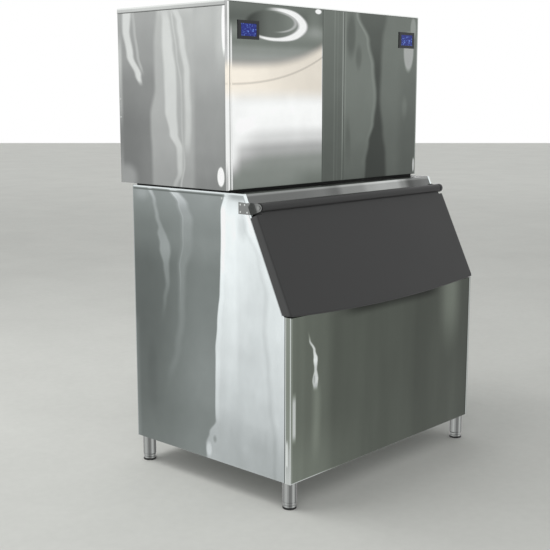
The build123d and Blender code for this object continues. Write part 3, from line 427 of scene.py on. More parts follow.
    # Painted highlights along the right edge's fold.
    right = over(right, band(u, 1215, 4, 4), right + 44.0)
    right = over(right, blob(u, v, 1204, 44, 9, 40, 0.4), 190.0)
    level = over(level, rise(u, 687, 691), right)
    warm = rise(wavy_v, 326, 396) * rise(u, 545, 540) * rise(edge_v, 506, 456)
    tint = finish.mix_tints(rise(level, 120, 190), (0.90, 1.0, 0.905), (0.985, 1.0, 0.99))
    tint = finish.mix_tints(warm, tint, (1.07, 1.0, 0.88))
    steel_surface(finish, level, tint, (60, 1, 60), props.steel_rough * 0.9, 0.0012)
    return finish.material


def bin_side_sheet_with_painted_reflections(props):
    finish = Finish("bin_side_steel_painted_reflections")
    # The greys below are painted reflections: a darker lower field, soft bright streaks and a bright field towards the
    # front.
    flat_u = finish.y * -1.0 + (444.5 + BIN_MIDDLE_Y * 1000)
    u = wander(finish, flat_u, 4.6, 26.0, 1.3)
    v = finish.z - BIN_BASE_Z * 1000
    ground = path(v, (0, 122), (200, 112), (520, 105), (760, 108), (900, 126), (1086, 152))
    level = ground + rise(u, 60, 440) * path(v, (0, 18), (400, 36), (760, 26), (1086, 8))
    level = over(level, band(flat_u, 8, 12, 30) * rise(v, 560, 480), level + 15.0)
    level = over(level, blob(u, v, 106, 300, 46, 220, 0.8), level - 5.0)
    soft = path(v, (200, 176), (286, 220), (426, 268), (566, 296), (766, 302), (866, 330), (966, 332), (1026, 306), (1086, 250))
    shine = path(v, (240, 124), (420, 136), (600, 142), (830, 147), (920, 156), (990, 168), (1086, 222))
    girth = path(v, (200, 10), (700, 9), (860, 22), (980, 26), (1086, 16))
    level = over(level, rise((u - soft).size() - girth, 24, -8) * rise(v, 180, 360), shine)
    level = over(level, band(u, soft - girth, 3, 8) * rise(v, 560, 760), shine + 8.0)
    hang = path(v, (500, 172), (626, 192), (690, 211), (760, 205), (850, 200), (910, 180), (966, 156), (1026, 140), (1086, 108))
    wide = path(v, (500, 2), (690, 9), (770, 14), (830, 30), (890, 24), (930, 9), (1000, 6), (1086, 8))
    glow = path(v, (520, 118), (640, 132), (740, 146), (850, 162), (930, 158), (1000, 166), (1086, 200))
    level = over(level, rise((u - hang).size() - wide, 14, -6) * rise(v, 490, 640), glow)
    level = over(level, blob(u, v, 60, 1060, 70, 50, 0.9), level + 18.0)
    edge = path(v, (0, 432), (60, 428), (110, 446), (170, 486), (460, 490), (560, 500), (700, 516), (900, 526), (1010, 528), (1086, 548))
    bright = path(v, (0, 184), (100, 188), (260, 208), (420, 219), (620, 228), (800, 238), (1000, 246), (1086, 226))
    bright = over(bright, rise(u, 622, 596) * rise(v, 160, 360), bright + 9.0)
    line = path(v, (150, 822), (300, 800), (430, 788), (566, 768), (706, 776), (846, 738), (966, 668), (1060, 640))
    bright = over(bright, rise(u - line, -10, 12) * rise(v, 30, 160), bright + 9.0)
    bright = over(bright, band(u, line - 16.0, 6, 20), bright - 7.0)
    # Slow mottle in the painted bright reflection.
    bright_reflection_mottle = finish.noise(8.0, 3.0, (1, 1, 2.4), 2.3)
    bright = bright + (bright_reflection_mottle - 0.5) * 34.0
    bright = over(bright, blob(u, v, 640, 960, 40, 70, 0.9), bright - 22.0)
    level = over(level, rise(u - edge, -7, 8), bright)
    rim = rise(v, 150, 200) * rise(u - edge, -6, 2) * rise(u - edge, 30, 12)
    level = over(level, rim, bright + 9.0)
    level = over(level, blob(u, v, 480, 90, 15, 22, 0.8), 156.0)
    level = over(level, blob(u, v, 446, 40, 22, 40, 0.6), 214.0)
    level = over(level, rise(v, 1050, 1074) * rise(u, 540, 600), 184.0)
    # Painted highlights along the sloped edge's bend and the top rim, a dark line under the rim, a light line at the
    # back edge and a dark seam at the front edge.
    slope = (flat_u - 648.5) * math.cos(math.radians(SLOPE_DEG)) + (v - 1086.0) * math.sin(math.radians(SLOPE_DEG))
    above_ledge = rise(v, 640, 650)
    level = over(level, band(slope, -1.5, 3.0, 3.0) * above_ledge, 246.0)
    level = over(level, band(slope, -7.5, 1.5, 3.0) * above_ledge, 186.0)
    level = over(level, rise(v, 1078, 1081), 238.0)
    level = over(level, band(v, 1073, 3.0, 4.0) * rise(flat_u, 560, 520), 116.0)
    level = over(level, band(flat_u, 3.0, 3.0, 3.0), 168.0)
    level = over(level, rise(flat_u, 855.5, 857.5), 48.0)
    tint = finish.mix_tints(rise(level, 110, 205), tuple(props.steel_tint_dark), tuple(props.steel_tint_cool))
    steel_surface(finish, level, tint, (1, 60, 60), props.steel_rough)
    return finish.material


def bin_front_sheet_with_painted_reflections(props):
    finish = Finish("bin_front_steel_painted_reflections")
    u = finish.x + 610.0
    v = finish.z - BIN_BASE_Z * 1000
    # The greys below are painted reflections: soft upright streaks, a brighter patch at the top right and a
    # flame-shaped highlight.
    wavy = wander(finish, u, 3.4, 36.0, 3.3)
    level = path(wavy, (0, 112), (60, 104), (190, 103), (260, 89), (480, 88), (720, 85), (860, 78), (1000, 80), (1100, 82), (1170, 77))
    level = level + rise(v, 240, 20) * rise(wavy, 520, 200) * 10.0 + rise(v, 300, 20) * 2.0
    reflection_streaks = finish.noise(9.0, 3.0, (1, 1, 9), 4.1)
    level = level + (reflection_streaks - 0.5) * 18.0
    level = over(level, blob(wavy, v, 1060, 600, 110, 330, 0.9), level + 34.0)
    # Painted shade: a dark band just below the door's lower edge, the door's painted shadow and reflection.
    level = over(level, rise(v, 585, 634) * rise(wavy, 240, 440) * rise(wavy, 1000, 880), level * 0.54)
    level = over(level, band(wavy, 60, 14, 30), level + 5.0)
    shaken = wander(finish, u, 24.0, 10.0, 6.3)
    highlight_streak = path(v, (430, 141), (470, 140), (500, 132), (545, 106), (600, 92))
    girth = path(v, (350, 10), (385, 15), (425, 6), (462, 11), (500, 5), (570, 1))
    spark = path(v, (340, 150), (385, 214), (430, 206), (462, 236), (510, 214), (580, 150))
    level = over(level, rise((shaken - highlight_streak).size() - girth, 7, -3) * rise(v, 336, 360) * rise(v, 590, 540), spark)
    level = over(level, blob(shaken, v, 134, 386, 9, 26, 0.6), 178.0)
    level = over(level, band(wavy, 140, 20, 40) * rise(v, 20, 200) * rise(v, 400, 330), level + 20.0)
    # Painted highlights: a white streak near the left edge, light lines at the folds and along the bottom lip, with a
    # dark strip before the right fold.
    level = over(level, band(u, 18, 9, 8) * rise(v, 150, 200) * rise(v, 366, 310), 196.0)
    level = over(level, band(u, 5, 3, 3), level + 26.0)
    level = over(level, rise(u, 1198, 1203), 60.0)
    level = over(level, band(u, 1212, 4.5, 3.0), 182.0)
    level = over(level, rise(v, 6, 3) * rise(wavy, 330, 120), 196.0)
    # Side returns: grey, with a painted highlight at each bend and a painted white highlight low down
    y = finish.y - BIN_MIDDLE_Y * 1000
    side = path(v, (0, 200), (110, 180), (190, 142), (400, 138), (644, 142))
    side = over(side, band(y, -417.6, 1.6, 1.5), 222.0)
    side = over(side, band(y, -441.5, 2.4, 1.6), 208.0)
    side = over(side, band(y, -425.0, 3.0, 4.0) * rise(v, 60, 78) * rise(v, 180, 150), 240.0)
    level = over(level, rise(finish.x.size(), 608.6, 609.4), side)
    tint = finish.mix_tints(rise(level, 120, 190), tuple(props.steel_tint_green), (0.95, 1.0, 0.97))
    steel_surface(finish, level, tint, (60, 1, 1), props.steel_rough)
    return finish.material


def bin_hood_sheet_with_painted_reflections(props):
    finish = Finish("bin_hood_steel_painted_reflections")
    # Painted reflections across the hood, and a painted highlight along its front bend.
    x = wander(finish, finish.x, 3.0, 20.0, 4.4)
    level = path(x, (-300, 110), (-170, 118), (-80, 104), (-20, 132), (90, 136), (150, 158), (250, 168), (350, 164), (400, 132), (450, 84), (500, 100), (580, 114))
    y = finish.y - BIN_MIDDLE_Y * 1000
    level = over(level, band(y, -205.0, 2.0, 3.0), level + 34.0)
    steel_surface(finish, level, tuple(props.steel_tint), (60, 1, 1), 0.24)
    return finish.material


def plain_steel(name, grey, props, grain=(60, 1, 60), rough=0.26, spread=16.0):
    """Plain bright sheet with a slow change of grey and a fine grain."""
    finish = Finish(name)
    level = (finish.noise(2.6, 2.0, (1, 1, 2.2), 1.9) - 0.5) * (spread * 2) + grey
    steel_surface(finish, level, tuple(props.steel_tint), grain, rough)
    return finish.material


def top_cover_with_rim_highlight(props):
    finish = Finish("top_cover_steel_rim_highlight")
    level = (finish.noise(2.2, 2.0, (1, 1, 1), 5.0) - 0.5) * 40.0 + 196.0
    # Painted highlight along the top rim, and a dark line below it.
    level = over(level, rise(finish.z, 1902.0, 1905.5), 236.0)
    level = over(level, band(finish.z, 1891.5, 1.2, 1.5), 130.0)
    steel_surface(finish, level, tuple(props.steel_tint), (60, 60, 1), 0.22)
    return finish.material


def legs_with_painted_reflections(props):
    """Turned steel: painted reflections in upright streaks, by the distance across each leg as seen from the front
    left.
    """
    finish = Finish("leg_steel")
    x = finish.x - finish.x.math("SIGN") * 576.0
    y = finish.y - BIN_MIDDLE_Y * 1000
    y = y - y.math("SIGN") * 408.5
    across = x * 0.6775 - y * 0.7355
    level = path(across, (-28, 96), (-21, 150), (-14, 176), (-6, 150), (0, 112), (7, 120), (13, 178), (18, 160), (24, 92), (28, 70))
    level = over(level, rise(x * 0.7355 + y * 0.6775, 4, 16), 120.0)
    # A dark line where the foot meets the leg, and painted shade in the foot's groove.
    level = over(level, band(finish.z, 28.0, 0.8, 0.8), 40.0)
    level = over(level, band(finish.z, 16.0, 1.6, 1.5), level - 30.0)
    steel_surface(finish, level, tuple(props.steel_tint), (1, 1, 40), 0.2)
    return finish.material


def back_finish(props):
    finish = Finish("back_sheet_steel")
    level = (finish.noise(3.0, 2.0, (1, 1, 2), 2.9) - 0.5) * 36.0 + 150.0
    steel_surface(finish, level, tuple(props.steel_tint), (60, 1, 1), 0.30)
    return finish.material


# Plastics and the rest


def plastic_finish(name, colour, rough, specular, grain=1400.0, relief=0.00006, mottle=0.10, slow=9.0):
    """Moulded plastic: a little cloudy in colour, with a fine leathery skin."""
    finish = Finish(name)
    cloud = finish.noise(slow, 3.0, (1, 1, 1), 0.6)
    fine = finish.noise(grain, 2.0, (1, 1, 1), 0.1)
    scale = finish.tree.nodes.new("ShaderNodeVectorMath")
    scale.operation = "SCALE"
    scale.inputs[0].default_value = colour
    feed(finish.tree, (cloud - 0.5) * (mottle * 2) + (fine - 0.5) * 0.08 + 1.0, scale.inputs["Scale"])
    finish.colour(scale.outputs[0])
    finish.plastic(specular, (cloud - 0.5) * 0.12 + rough)
    finish.bump(fine, relief, 0.7)
    return finish.material


def door_finish(props):
    """Dark moulded door, with a painted highlight that makes its rounded flanks paler."""
    finish = Finish("door_plastic")
    cloud = finish.noise(7.0, 4.0, (1, 1, 1), 0.6)
    fine = finish.noise(1500.0, 2.0, (1, 1, 1), 0.1)
    flank = rise(finish.x.size(), 612.5, 616.5)
    grey = (cloud - 0.5) * 7.0 + props.door_grey
    # Painted highlight: the flanks are made paler than the face.
    grey = over(grey, flank, props.door_flank_highlight_grey)
    finish.colour(finish.grey(grey + (fine - 0.5) * 3.0, (0.98, 1.0, 1.0)))
    finish.plastic(0.35, (cloud - 0.5) * 0.14 + 0.46)
    finish.bump(fine, 0.00008, 0.8)
    return finish.material


def display_finish(props):
    """Blue display glass with a few faint cloudy light marks behind it."""
    finish = Finish("display_glass")
    marks = finish.noise(150.0, 3.0, (1.0, 1.0, 0.8), 0.35)
    glow = rise(marks, 0.56, 0.66)
    mix = finish.tree.nodes.new("ShaderNodeMix")
    mix.data_type = "RGBA"
    feed(finish.tree, glow, mix.inputs["Factor"])
    a, b = [s for s in mix.inputs if s.type == "RGBA"]
    a.default_value = (*props.display_blue, 1.0)
    b.default_value = (0.12, 0.22, 0.62, 1.0)
    out = [s for s in mix.outputs if s.type == "RGBA"][0]
    finish.colour(out)
    finish.tree.links.new(out, finish.shader.inputs["Emission Color"])
    finish.shader.inputs["Emission Strength"].default_value = 0.55
    finish.plastic(0.3, 0.12)
    return finish.material


def metal_finish(name, colour, rough, grain=(1, 1, 1), spread=0.10):
    """Plain metal with a slow change of colour and a fine grain."""
    finish = Finish(name)
    cloud = finish.noise(14.0, 3.0, (1, 1, 1), 0.2)
    fine = finish.noise(700.0, 2.0, grain, 0.5)
    scale = finish.tree.nodes.new("ShaderNodeVectorMath")
    scale.operation = "SCALE"
    scale.inputs[0].default_value = colour
    feed(finish.tree, (cloud - 0.5) * (spread * 2) + (fine - 0.5) * 0.06 + 1.0, scale.inputs["Scale"])
    finish.colour(scale.outputs[0])
    finish.metal()
    finish.rough((fine - 0.5) * 0.12 + rough)
    finish.bump(fine, 0.00003, 0.5)
    return finish.material


# Settings that a user may change


class SteelSettings(bpy.types.PropertyGroup):
    steel_tint: bpy.props.FloatVectorProperty(
        name="Head sheet tint", description="Tint of the head's sheets", default=(0.97, 1.0, 0.975), size=3, subtype="COLOR"
    )
    steel_tint_cool: bpy.props.FloatVectorProperty(
        name="Bin side tint", description="Tint of the bin's bright side", default=(0.93, 0.995, 1.0), size=3, subtype="COLOR"
    )
    steel_tint_dark: bpy.props.FloatVectorProperty(
        name="Bin side dark tint", description="Tint of the bin's darker side", default=(0.89, 1.0, 0.955), size=3, subtype="COLOR"
    )
    steel_tint_green: bpy.props.FloatVectorProperty(
        name="Bin front tint", description="Tint of the bin's front sheet", default=(0.89, 1.0, 0.84), size=3, subtype="COLOR"
    )
    steel_rough: bpy.props.FloatProperty(
        name="Sheet roughness", description="Roughness of the polished sheets", default=0.2, min=0.0, max=1.0, subtype="FACTOR"
    )


class PlasticSettings(bpy.types.PropertyGroup):
    door_grey: bpy.props.FloatProperty(
        name="Door grey", description="Display grey of the door, 0 to 255", default=50.0, min=0.0, max=255.0
    )
    # Grey of the painted highlight on the door's flanks.
    door_flank_highlight_grey: bpy.props.FloatProperty(
        name="Door edge grey", description="Display grey of the door's flanks, 0 to 255", default=70.0, min=0.0, max=255.0
    )
    display_blue: bpy.props.FloatVectorProperty(
        name="Display blue", description="Colour of the display windows", default=(0.004, 0.012, 0.16), size=3, subtype="COLOR"
    )


class FastenerSettings(bpy.types.PropertyGroup):
    rivet_radius: bpy.props.FloatProperty(
        name="Rivet radius", description="Radius of a bracket rivet's head", default=4.0 * MM, unit="LENGTH"
    )
    rivet_height: bpy.props.FloatProperty(
        name="Rivet height", description="Height of a bracket rivet's head", default=2.0 * MM, unit="LENGTH"
    )
    screw_radius: bpy.props.FloatProperty(
        name="Screw radius", description="Radius of a panel screw's head", default=4.5 * MM, unit="LENGTH"
    )
    screw_height: bpy.props.FloatProperty(
        name="Screw height", description="Height of a panel screw's head", default=1.6 * MM, unit="LENGTH"
    )


class FootSettings(bpy.types.PropertyGroup):
    cup_radius: bpy.props.FloatProperty(
        name="Foot radius", description="Radius of an adjusting foot", default=26.0 * MM, unit="LENGTH"
    )
    pad_radius: bpy.props.FloatProperty(
        name="Pad radius", description="Radius of a foot's pad", default=27.5 * MM, unit="LENGTH"
    )
    stud_radius: bpy.props.FloatProperty(
        name="Stud radius", description="Outer radius of the foot's screw thread", default=10.0 * MM, unit="LENGTH"
    )
    thread_pitch: bpy.props.FloatProperty(
        name="Thread pitch", description="Pitch of the foot's screw thread", default=5.0 * MM, unit="LENGTH"
    )


class StageSettings(bpy.types.PropertyGroup):
    # The two floor greys set that painted shade, darker in front and paler behind.
    floor_far: bpy.props.FloatProperty(
        name="Far floor", description="Reflectance of the floor far behind the machine", default=0.80, min=0.0, max=1.0
    )
    floor_near: bpy.props.FloatProperty(
        name="Near floor", description="Reflectance of the floor in front of the machine", default=0.50, min=0.0, max=1.0
    )
    sky: bpy.props.FloatProperty(
        name="Room light", description="Strength of the even light of the room", default=0.62, min=0.0
    )
    key_power: bpy.props.FloatProperty(
        name="Key lamp", description="Power of the large soft lamp", default=150.0, min=0.0, unit="POWER"
    )
    lens: bpy.props.FloatProperty(
        name="Lens", description="Focal length of the camera", default=67.86, subtype="DISTANCE_CAMERA"
    )


# Operators


class DressSheets(bpy.types.Operator):
    """Give the bin's and the head's steel sheets their finish, with painted reflections and highlights in its colour.
    """

    bl_idname = "ice_machine.dress_sheets"
    bl_label = "Dress the steel sheets"

    def execute(self, context):
        props = context.scene.ice_steel
        dress(head_side_sheet_with_painted_reflections(props), "head_side_left", "head_side_right")
        dress(head_front_sheet_with_painted_reflections(props), "head_front_left", "head_front_right", "head_centre_strip")
        dress(top_cover_with_rim_highlight(props), "head_top_cover")
        dress(bin_side_sheet_with_painted_reflections(props), "bin_side_left", "bin_side_right")
        dress(bin_front_sheet_with_painted_reflections(props), "bin_front_panel")
        dress(bin_hood_sheet_with_painted_reflections(props), "bin_top_panel")
        dress(back_finish(props), "bin_back_panel", "head_back_panel", "bin_floor_pan", "head_base_pan", "bay_divider")
        return {"FINISHED"}


class DressDoor(bpy.types.Operator):
    """Give the bin door, its rod and its gasket their finish."""

    bl_idname = "ice_machine.dress_door"
    bl_label = "Dress the door"

    def execute(self, context):
        props = context.scene.ice_plastic
        dress(door_finish(props), "door_shell")
        dress(plastic_finish("door_inner_plastic", (0.05, 0.05, 0.052), 0.5, 0.3), "door_inner_panel")
        dress(plastic_finish("gasket_rubber", (0.012, 0.012, 0.012), 0.6, 0.25), "door_gasket", "seat_gasket")
        dress(plain_steel("rod_steel", 150.0, context.scene.ice_steel, (60, 1, 1), 0.2), "hinge_rod")
        brackets = plain_steel("bracket_steel", 138.0, context.scene.ice_steel, (1, 1, 1), 0.24, 26.0)
        dress(brackets, "hinge_bracket_left", "hinge_bracket_right")
        return {"FINISHED"}


class MakeRodKnob(bpy.types.Operator):
    """Make the moulded knob on the right end of the hinge rod."""

    bl_idname = "ice_machine.make_rod_knob"
    bl_label = "Make the rod knob"

    def execute(self, context):
        low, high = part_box("rod_end_knob")
        length = high[0] - low[0]
        radius = (high[2] - low[2]) / 2
        profile = [(radius * 0.35, 0), (radius, 0), (radius, 2.4 * MM), (radius * 0.95, 3.2 * MM)]
        profile += [(radius * 0.95, 4.6 * MM), (radius, 5.4 * MM), (radius, length - 7 * MM)]
        profile += [(radius * 0.72, length - 0.6 * MM), (radius * 0.3, length)]
        rings = turned(eased(profile, 2.2 * MM), 64, (low[0], HINGE_Y, HINGE_Z), (1, 0, 0))
        finish = plastic_finish("knob_plastic", (0.028, 0.028, 0.030), 0.4, 0.4)
        knob = add_object("turned_rod_knob", [make_faces(rings)], "door", finish)
        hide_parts("rod_end_knob")
        return {"FINISHED"}


class MakeFasteners(bpy.types.Operator):
    """Make the domed rivets of the hinge brackets and the panel screws."""

    bl_idname = "ice_machine.make_fasteners"
    bl_label = "Make the rivets and screws"

    def execute(self, context):
        props = context.scene.ice_fasteners
        steel = context.scene.ice_steel
        plate_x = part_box("hinge_bracket_right")[1][0]
        rivets = []
        dome = dome_profile(props.rivet_radius, props.rivet_height)
        for side in (-1, 1):
            for z in (1.126, 1.154):
                for y in (-0.188 + BIN_MIDDLE_Y, slope_line_y(z) + 12.0 * MM):
                    rings = turned(dome, 24, (side * plate_x, y, z), (side, 0, 0))
                    rivets.append(make_faces(rings))
        finish = plain_steel("rivet_steel", 214.0, steel, (1, 1, 1), 0.22, 10.0)
        add_object("bracket_rivet_heads", rivets, "machine", finish)
        screws = []
        dome = dome_profile(props.screw_radius, props.screw_height)
        back_y = 0.508 + BIN_MIDDLE_Y
        for side in (-1, 1):
            for y, z in ((-0.086 + BIN_MIDDLE_Y, 1.171), (back_y, 1.472), (back_y, 1.546)):
                rings = turned(dome, 28, (side * HALF_WIDTH, y, z), (side, 0, 0))
                screws.append(make_faces(rings))
        finish = plain_steel("screw_steel", 196.0, steel, (1, 1, 1), 0.25, 10.0)
        add_object("panel_screw_heads", screws, "machine", finish)
        return {"FINISHED"}


class MakeFeet(bpy.types.Operator):
    """Make the turned feet with their screw threads, the pads, and dress the legs."""

    bl_idname = "ice_machine.make_feet"
    bl_label = "Make the feet"

    def execute(self, context):
        props = context.scene.ice_feet
        steel = legs_with_painted_reflections(context.scene.ice_steel)
        dress(steel, "leg_tubes")
        rubber = plastic_finish("pad_rubber", (0.014, 0.014, 0.014), 0.62, 0.3)
        for corner in ("front_left", "front_right", "back_left", "back_right"):
            body = "adjusting_foot_" + corner
            low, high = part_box("foot_" + corner)
            centre = (low + high) / 2
            base = (centre[0], centre[1], 0.0)
            cup_low = low[2]
            cup_high = 27.2 * MM
            r = props.cup_radius
            profile = [(r * 0.5, cup_low), (r - 1.2 * MM, cup_low), (r, cup_low + 1.2 * MM), (r, cup_low + 5 * MM)]
            profile += [(r - 1.6 * MM, cup_low + 6.4 * MM), (r - 1.6 * MM, cup_low + 9.4 * MM), (r, cup_low + 10.8 * MM)]
            profile += [(r, cup_high - 4 * MM), (r - 1.5 * MM, cup_high), (r * 0.45, cup_high)]
            cup = turned(eased(profile, 1.0 * MM), 72, base, (0, 0, 1))
            parts = [make_faces(cup), make_faces(thread_rings(props, base, cup_high, high[2]))]
            foot = add_object("turned_foot_" + corner, parts, body, steel)
            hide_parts("foot_" + corner)
            r = props.pad_radius
            profile = [(r * 0.3, 0), (r - 2.0 * MM, 0), (r, 1.6 * MM), (r, 5.6 * MM), (r - 1.2 * MM, 6.98 * MM), (r * 0.3, 6.98 * MM)]
            pad = turned(eased(profile, 0.9 * MM), 64, base, (0, 0, 1))
            pad = add_object("moulded_pad_" + corner, [make_faces(pad)], body, rubber)
            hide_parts("foot_pad_" + corner)
        return {"FINISHED"}


class DressDisplays(bpy.types.Operator):
    """Give the display frames and windows their finish."""

    bl_idname = "ice_machine.dress_displays"
    bl_label = "Dress the displays"

    def execute(self, context):
        props = context.scene.ice_plastic
        frame_plastic = plastic_finish("display_frame_plastic", (0.010, 0.011, 0.014), 0.34, 0.4)
        dress(frame_plastic, "display_bezel_left", "display_bezel_right")
        dress(display_finish(props), "display_windows")
        return {"FINISHED"}


class DressInside(bpy.types.Operator):
    """Give the liner and the pieces inside the head their finish."""

    bl_idname = "ice_machine.dress_inside"
    bl_label = "Dress the inside"

    def execute(self, context):
        both = ("_left", "_right")
        white = plastic_finish("liner_plastic", (0.72, 0.74, 0.75), 0.32, 0.5, mottle=0.03)
        dress(white, "bin_liner")
        dress(plastic_finish("foam", (0.66, 0.52, 0.26), 0.9, 0.1, 300.0, 0.0006), "bin_insulation")
        dress(plastic_finish("drain_plastic", (0.70, 0.70, 0.68), 0.4, 0.5), "bin_drain_spout")
        pale = plastic_finish("trough_plastic", (0.60, 0.63, 0.66), 0.36, 0.5)
        dress(pale, "compartment_wall", *("water_spreader" + s for s in both), *("water_trough" + s for s in both))
        dress(plastic_finish("curtain_plastic", (0.52, 0.58, 0.63), 0.28, 0.5), *("splash_curtain" + s for s in both))
        dress(metal_finish("control_box_steel", (0.55, 0.56, 0.56), 0.4), "control_box")
        dress(metal_finish("evaporator_plating", (0.62, 0.60, 0.55), 0.3), *("evaporator" + s for s in both))
        dress(plastic_finish("compressor_paint", (0.012, 0.012, 0.013), 0.35, 0.5), *("compressor" + s for s in both))
        dress(metal_finish("condenser_fins", (0.58, 0.60, 0.61), 0.42, (1, 1, 30)), *("condenser" + s for s in both))
        dress(metal_finish("fan_aluminium", (0.52, 0.53, 0.54), 0.4), *("fan" + s for s in both))
        dress(plastic_finish("pump_plastic", (0.04, 0.04, 0.045), 0.5, 0.4), "circulation_pumps")
        dress(plastic_finish("motor_paint", (0.03, 0.03, 0.032), 0.45, 0.5), "fan_motors")
        dress(metal_finish("copper_tube", (0.80, 0.38, 0.22), 0.28), "refrigerant_lines")
        dress(plastic_finish("hose_plastic", (0.62, 0.62, 0.60), 0.35, 0.5), "water_lines")
        return {"FINISHED"}


class MakeStage(bpy.types.Operator):
    """Make the floor, the room light, the lamps and the camera."""

    bl_idname = "ice_machine.make_stage"
    bl_label = "Make the stage"

    def execute(self, context):
        props = context.scene.ice_stage
        scene = context.scene
        make_floor(props)
        make_room(scene, props)
        make_lamp("key_lamp", (-1.8, 1.6, 5.2), (0.0, 0.0, 0.9), 3.2, props.key_power)
        make_lamp("fill_lamp", (-4.5, -3.5, 3.4), (0.0, 0.0, 0.9), 3.0, props.key_power * 0.45)
        data = bpy.data.cameras.new("photo_camera")
        data.lens = props.lens
        data.sensor_width = 36.0
        data.clip_end = 200.0
        camera = bpy.data.objects.new("photo_camera", data)
        camera.location = (-3.3875, -2.9224 + BIN_MIDDLE_Y, 1.5539)
        camera.rotation_euler = (math.radians(90 - 9.747), 0.0, math.radians(-47.350))
        scene.collection.objects.link(camera)
        scene.camera = camera
        scene.view_settings.view_transform = "Standard"
        return {"FINISHED"}


def make_faces(rings):
    """Quads between neighbouring rings of points, closed round each ring, with flat end caps."""
    count, around = rings.shape[:2]
    grid = np.arange(count * around).reshape(count, around)
    ahead = np.roll(grid, -1, axis=1)
    quads = np.stack([grid[:-1], ahead[:-1], ahead[1:], grid[1:]], axis=-1).reshape(-1, 4)
    return quads.tolist() + [grid[0][::-1].tolist(), grid[-1].tolist()], rings.reshape(-1, 3)


def thread_rings(props, base, low, high, around=32, rows_per_turn=7):
    """Screw thread: radius = stud - depth * (0.5 + 0.5 * cos(2 pi * height / pitch - turn))."""
    rows = int((high - low) / props.thread_pitch * rows_per_turn)
    z = np.linspace(low, high, rows)[:, None]
    t = np.linspace(0, 2 * math.pi, around, endpoint=False)[None, :]
    depth = 1.0 * MM * np.clip((high - z) / (3 * MM), 0.4, 1.0)
    r = props.stud_radius - depth * (0.5 + 0.5 * np.cos(2 * math.pi * z / props.thread_pitch - t))
    return np.stack([base[0] + r * np.cos(t), base[1] + r * np.sin(t), z + 0 * t], axis=-1)


def make_floor(props):
    """Pale concrete floor that ends far behind the machine, seen white by polished metal."""
    yaw = math.radians(47.350)
    ahead = np.array([math.sin(yaw), math.cos(yaw), 0.0])
    across = np.array([math.cos(yaw), -math.sin(yaw), 0.0])
    corners = [ahead * a + across * c for a, c in ((-40, -60), (-40, 60), (31.2, 60), (31.2, -60))]
    mesh = bpy.data.meshes.new("floor")
    mesh.from_pydata([c.tolist() for c in corners], [], [[0, 1, 2, 3]])
    mesh.update()
    floor = bpy.data.objects.new("floor", mesh)
    bpy.context.scene.collection.objects.link(floor)
    finish = Finish("floor_concrete")
    away = finish.x * (ahead[0] / 1000) + finish.y * (ahead[1] / 1000)
    cloud = finish.noise(1.7, 5.0, (1, 1, 1), 0.3, 0.62)
    fine = finish.noise(26.0, 4.0, (1, 1, 1), 0.8, 0.6)
    # Painted shade: the floor is darker in front of the machine and paler far behind it, standing in for how the light
    # falls across it.
    value = path(away, (-4.0, props.floor_near), (2.0, props.floor_near + 0.09), (16.0, props.floor_far))
    value = value * ((cloud - 0.5) * 0.16 + (fine - 0.5) * 0.10 + 1.0)
    node = finish.tree.nodes.new("ShaderNodeVectorMath")
    node.operation = "SCALE"
    node.inputs[0].default_value = (0.985, 1.0, 0.95)
    feed(finish.tree, value, node.inputs["Scale"])
    finish.colour(node.outputs[0])
    finish.plastic(0.2, 0.75)
    light_path = finish.tree.nodes.new("ShaderNodeLightPath")
    glow = finish.tree.nodes.new("ShaderNodeEmission")
    glow.inputs["Strength"].default_value = 0.92
    mix = finish.tree.nodes.new("ShaderNodeMixShader")
    finish.tree.links.new(light_path.outputs["Is Glossy Ray"], mix.inputs[0])
    finish.tree.links.new(finish.shader.outputs[0], mix.inputs[1])
    finish.tree.links.new(glow.outputs[0], mix.inputs[2])
    finish.tree.links.new(mix.outputs[0], finish.tree.nodes["Material Output"].inputs["Surface"])
    mesh.materials.append(finish.material)


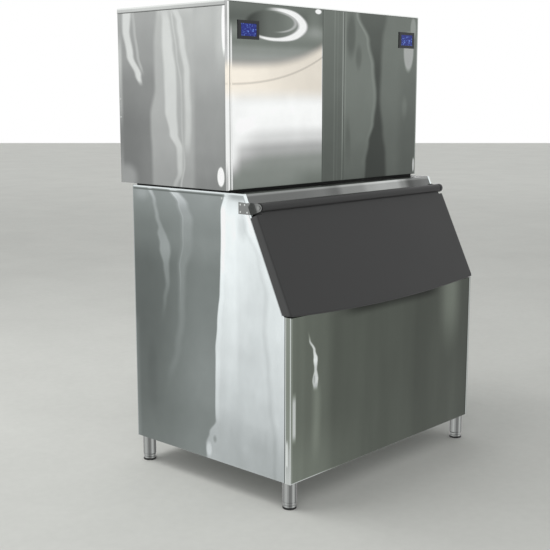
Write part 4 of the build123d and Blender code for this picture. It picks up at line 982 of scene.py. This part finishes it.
def make_room(scene, props):
    """Even room light; the camera and polished surfaces see it white."""
    world = bpy.data.worlds.new("room")
    world.use_nodes = True
    tree = world.node_tree
    background = tree.nodes["Background"]
    light_path = tree.nodes.new("ShaderNodeLightPath")
    seen = Level(tree, light_path.outputs["Is Camera Ray"])
    seen = seen.math("MAXIMUM", Level(tree, light_path.outputs["Is Glossy Ray"]))
    seen = seen.math("MAXIMUM", Level(tree, light_path.outputs["Is Transmission Ray"]))
    background.inputs["Color"].default_value = (1.0, 1.0, 1.0, 1.0)
    feed(tree, seen * (1.0 - props.sky) + props.sky, background.inputs["Strength"])
    scene.world = world


def make_lamp(name, place, target, size, power):
    """Square area lamp turned towards a point; polished sheets don't mirror it."""
    from mathutils import Vector

    data = bpy.data.lights.new(name, "AREA")
    data.size = size
    data.energy = power
    lamp = bpy.data.objects.new(name, data)
    lamp.location = place
    lamp.rotation_euler = (Vector(target) - Vector(place)).to_track_quat("-Z", "Y").to_euler()
    lamp.visible_glossy = False
    bpy.context.scene.collection.objects.link(lamp)


OPERATORS = (DressSheets, DressDoor, MakeRodKnob, MakeFasteners, MakeFeet, DressDisplays, DressInside, MakeStage)
SETTINGS = {
    "ice_steel": SteelSettings,
    "ice_plastic": PlasticSettings,
    "ice_fasteners": FastenerSettings,
    "ice_feet": FootSettings,
    "ice_stage": StageSettings,
}


class IceMachinePanel(bpy.types.Panel):
    """Lists the settings and the steps that dress the ice machine."""

    bl_idname = "VIEW3D_PT_ice_machine"
    bl_label = "Ice machine"
    bl_space_type = "VIEW_3D"
    bl_region_type = "UI"
    bl_category = "Ice machine"

    def draw(self, context):
        for name, group in SETTINGS.items():
            box = self.layout.box()
            for prop in group.__annotations__:
                box.prop(getattr(context.scene, name), prop)
        for operator in OPERATORS:
            self.layout.operator(operator.bl_idname)


def register():
    for cls in (*SETTINGS.values(), *OPERATORS, IceMachinePanel):
        bpy.utils.register_class(cls)
    for name, group in SETTINGS.items():
        setattr(bpy.types.Scene, name, bpy.props.PointerProperty(type=group))


def unregister():
    for name in SETTINGS:
        delattr(bpy.types.Scene, name)
    for cls in (IceMachinePanel, *reversed(OPERATORS), *reversed(list(SETTINGS.values()))):
        bpy.utils.unregister_class(cls)


def main():
    register()
    for operator in OPERATORS:
        group, name = operator.bl_idname.split(".")
        getattr(getattr(bpy.ops, group), name)()


if __name__ == "__main__":
    main()
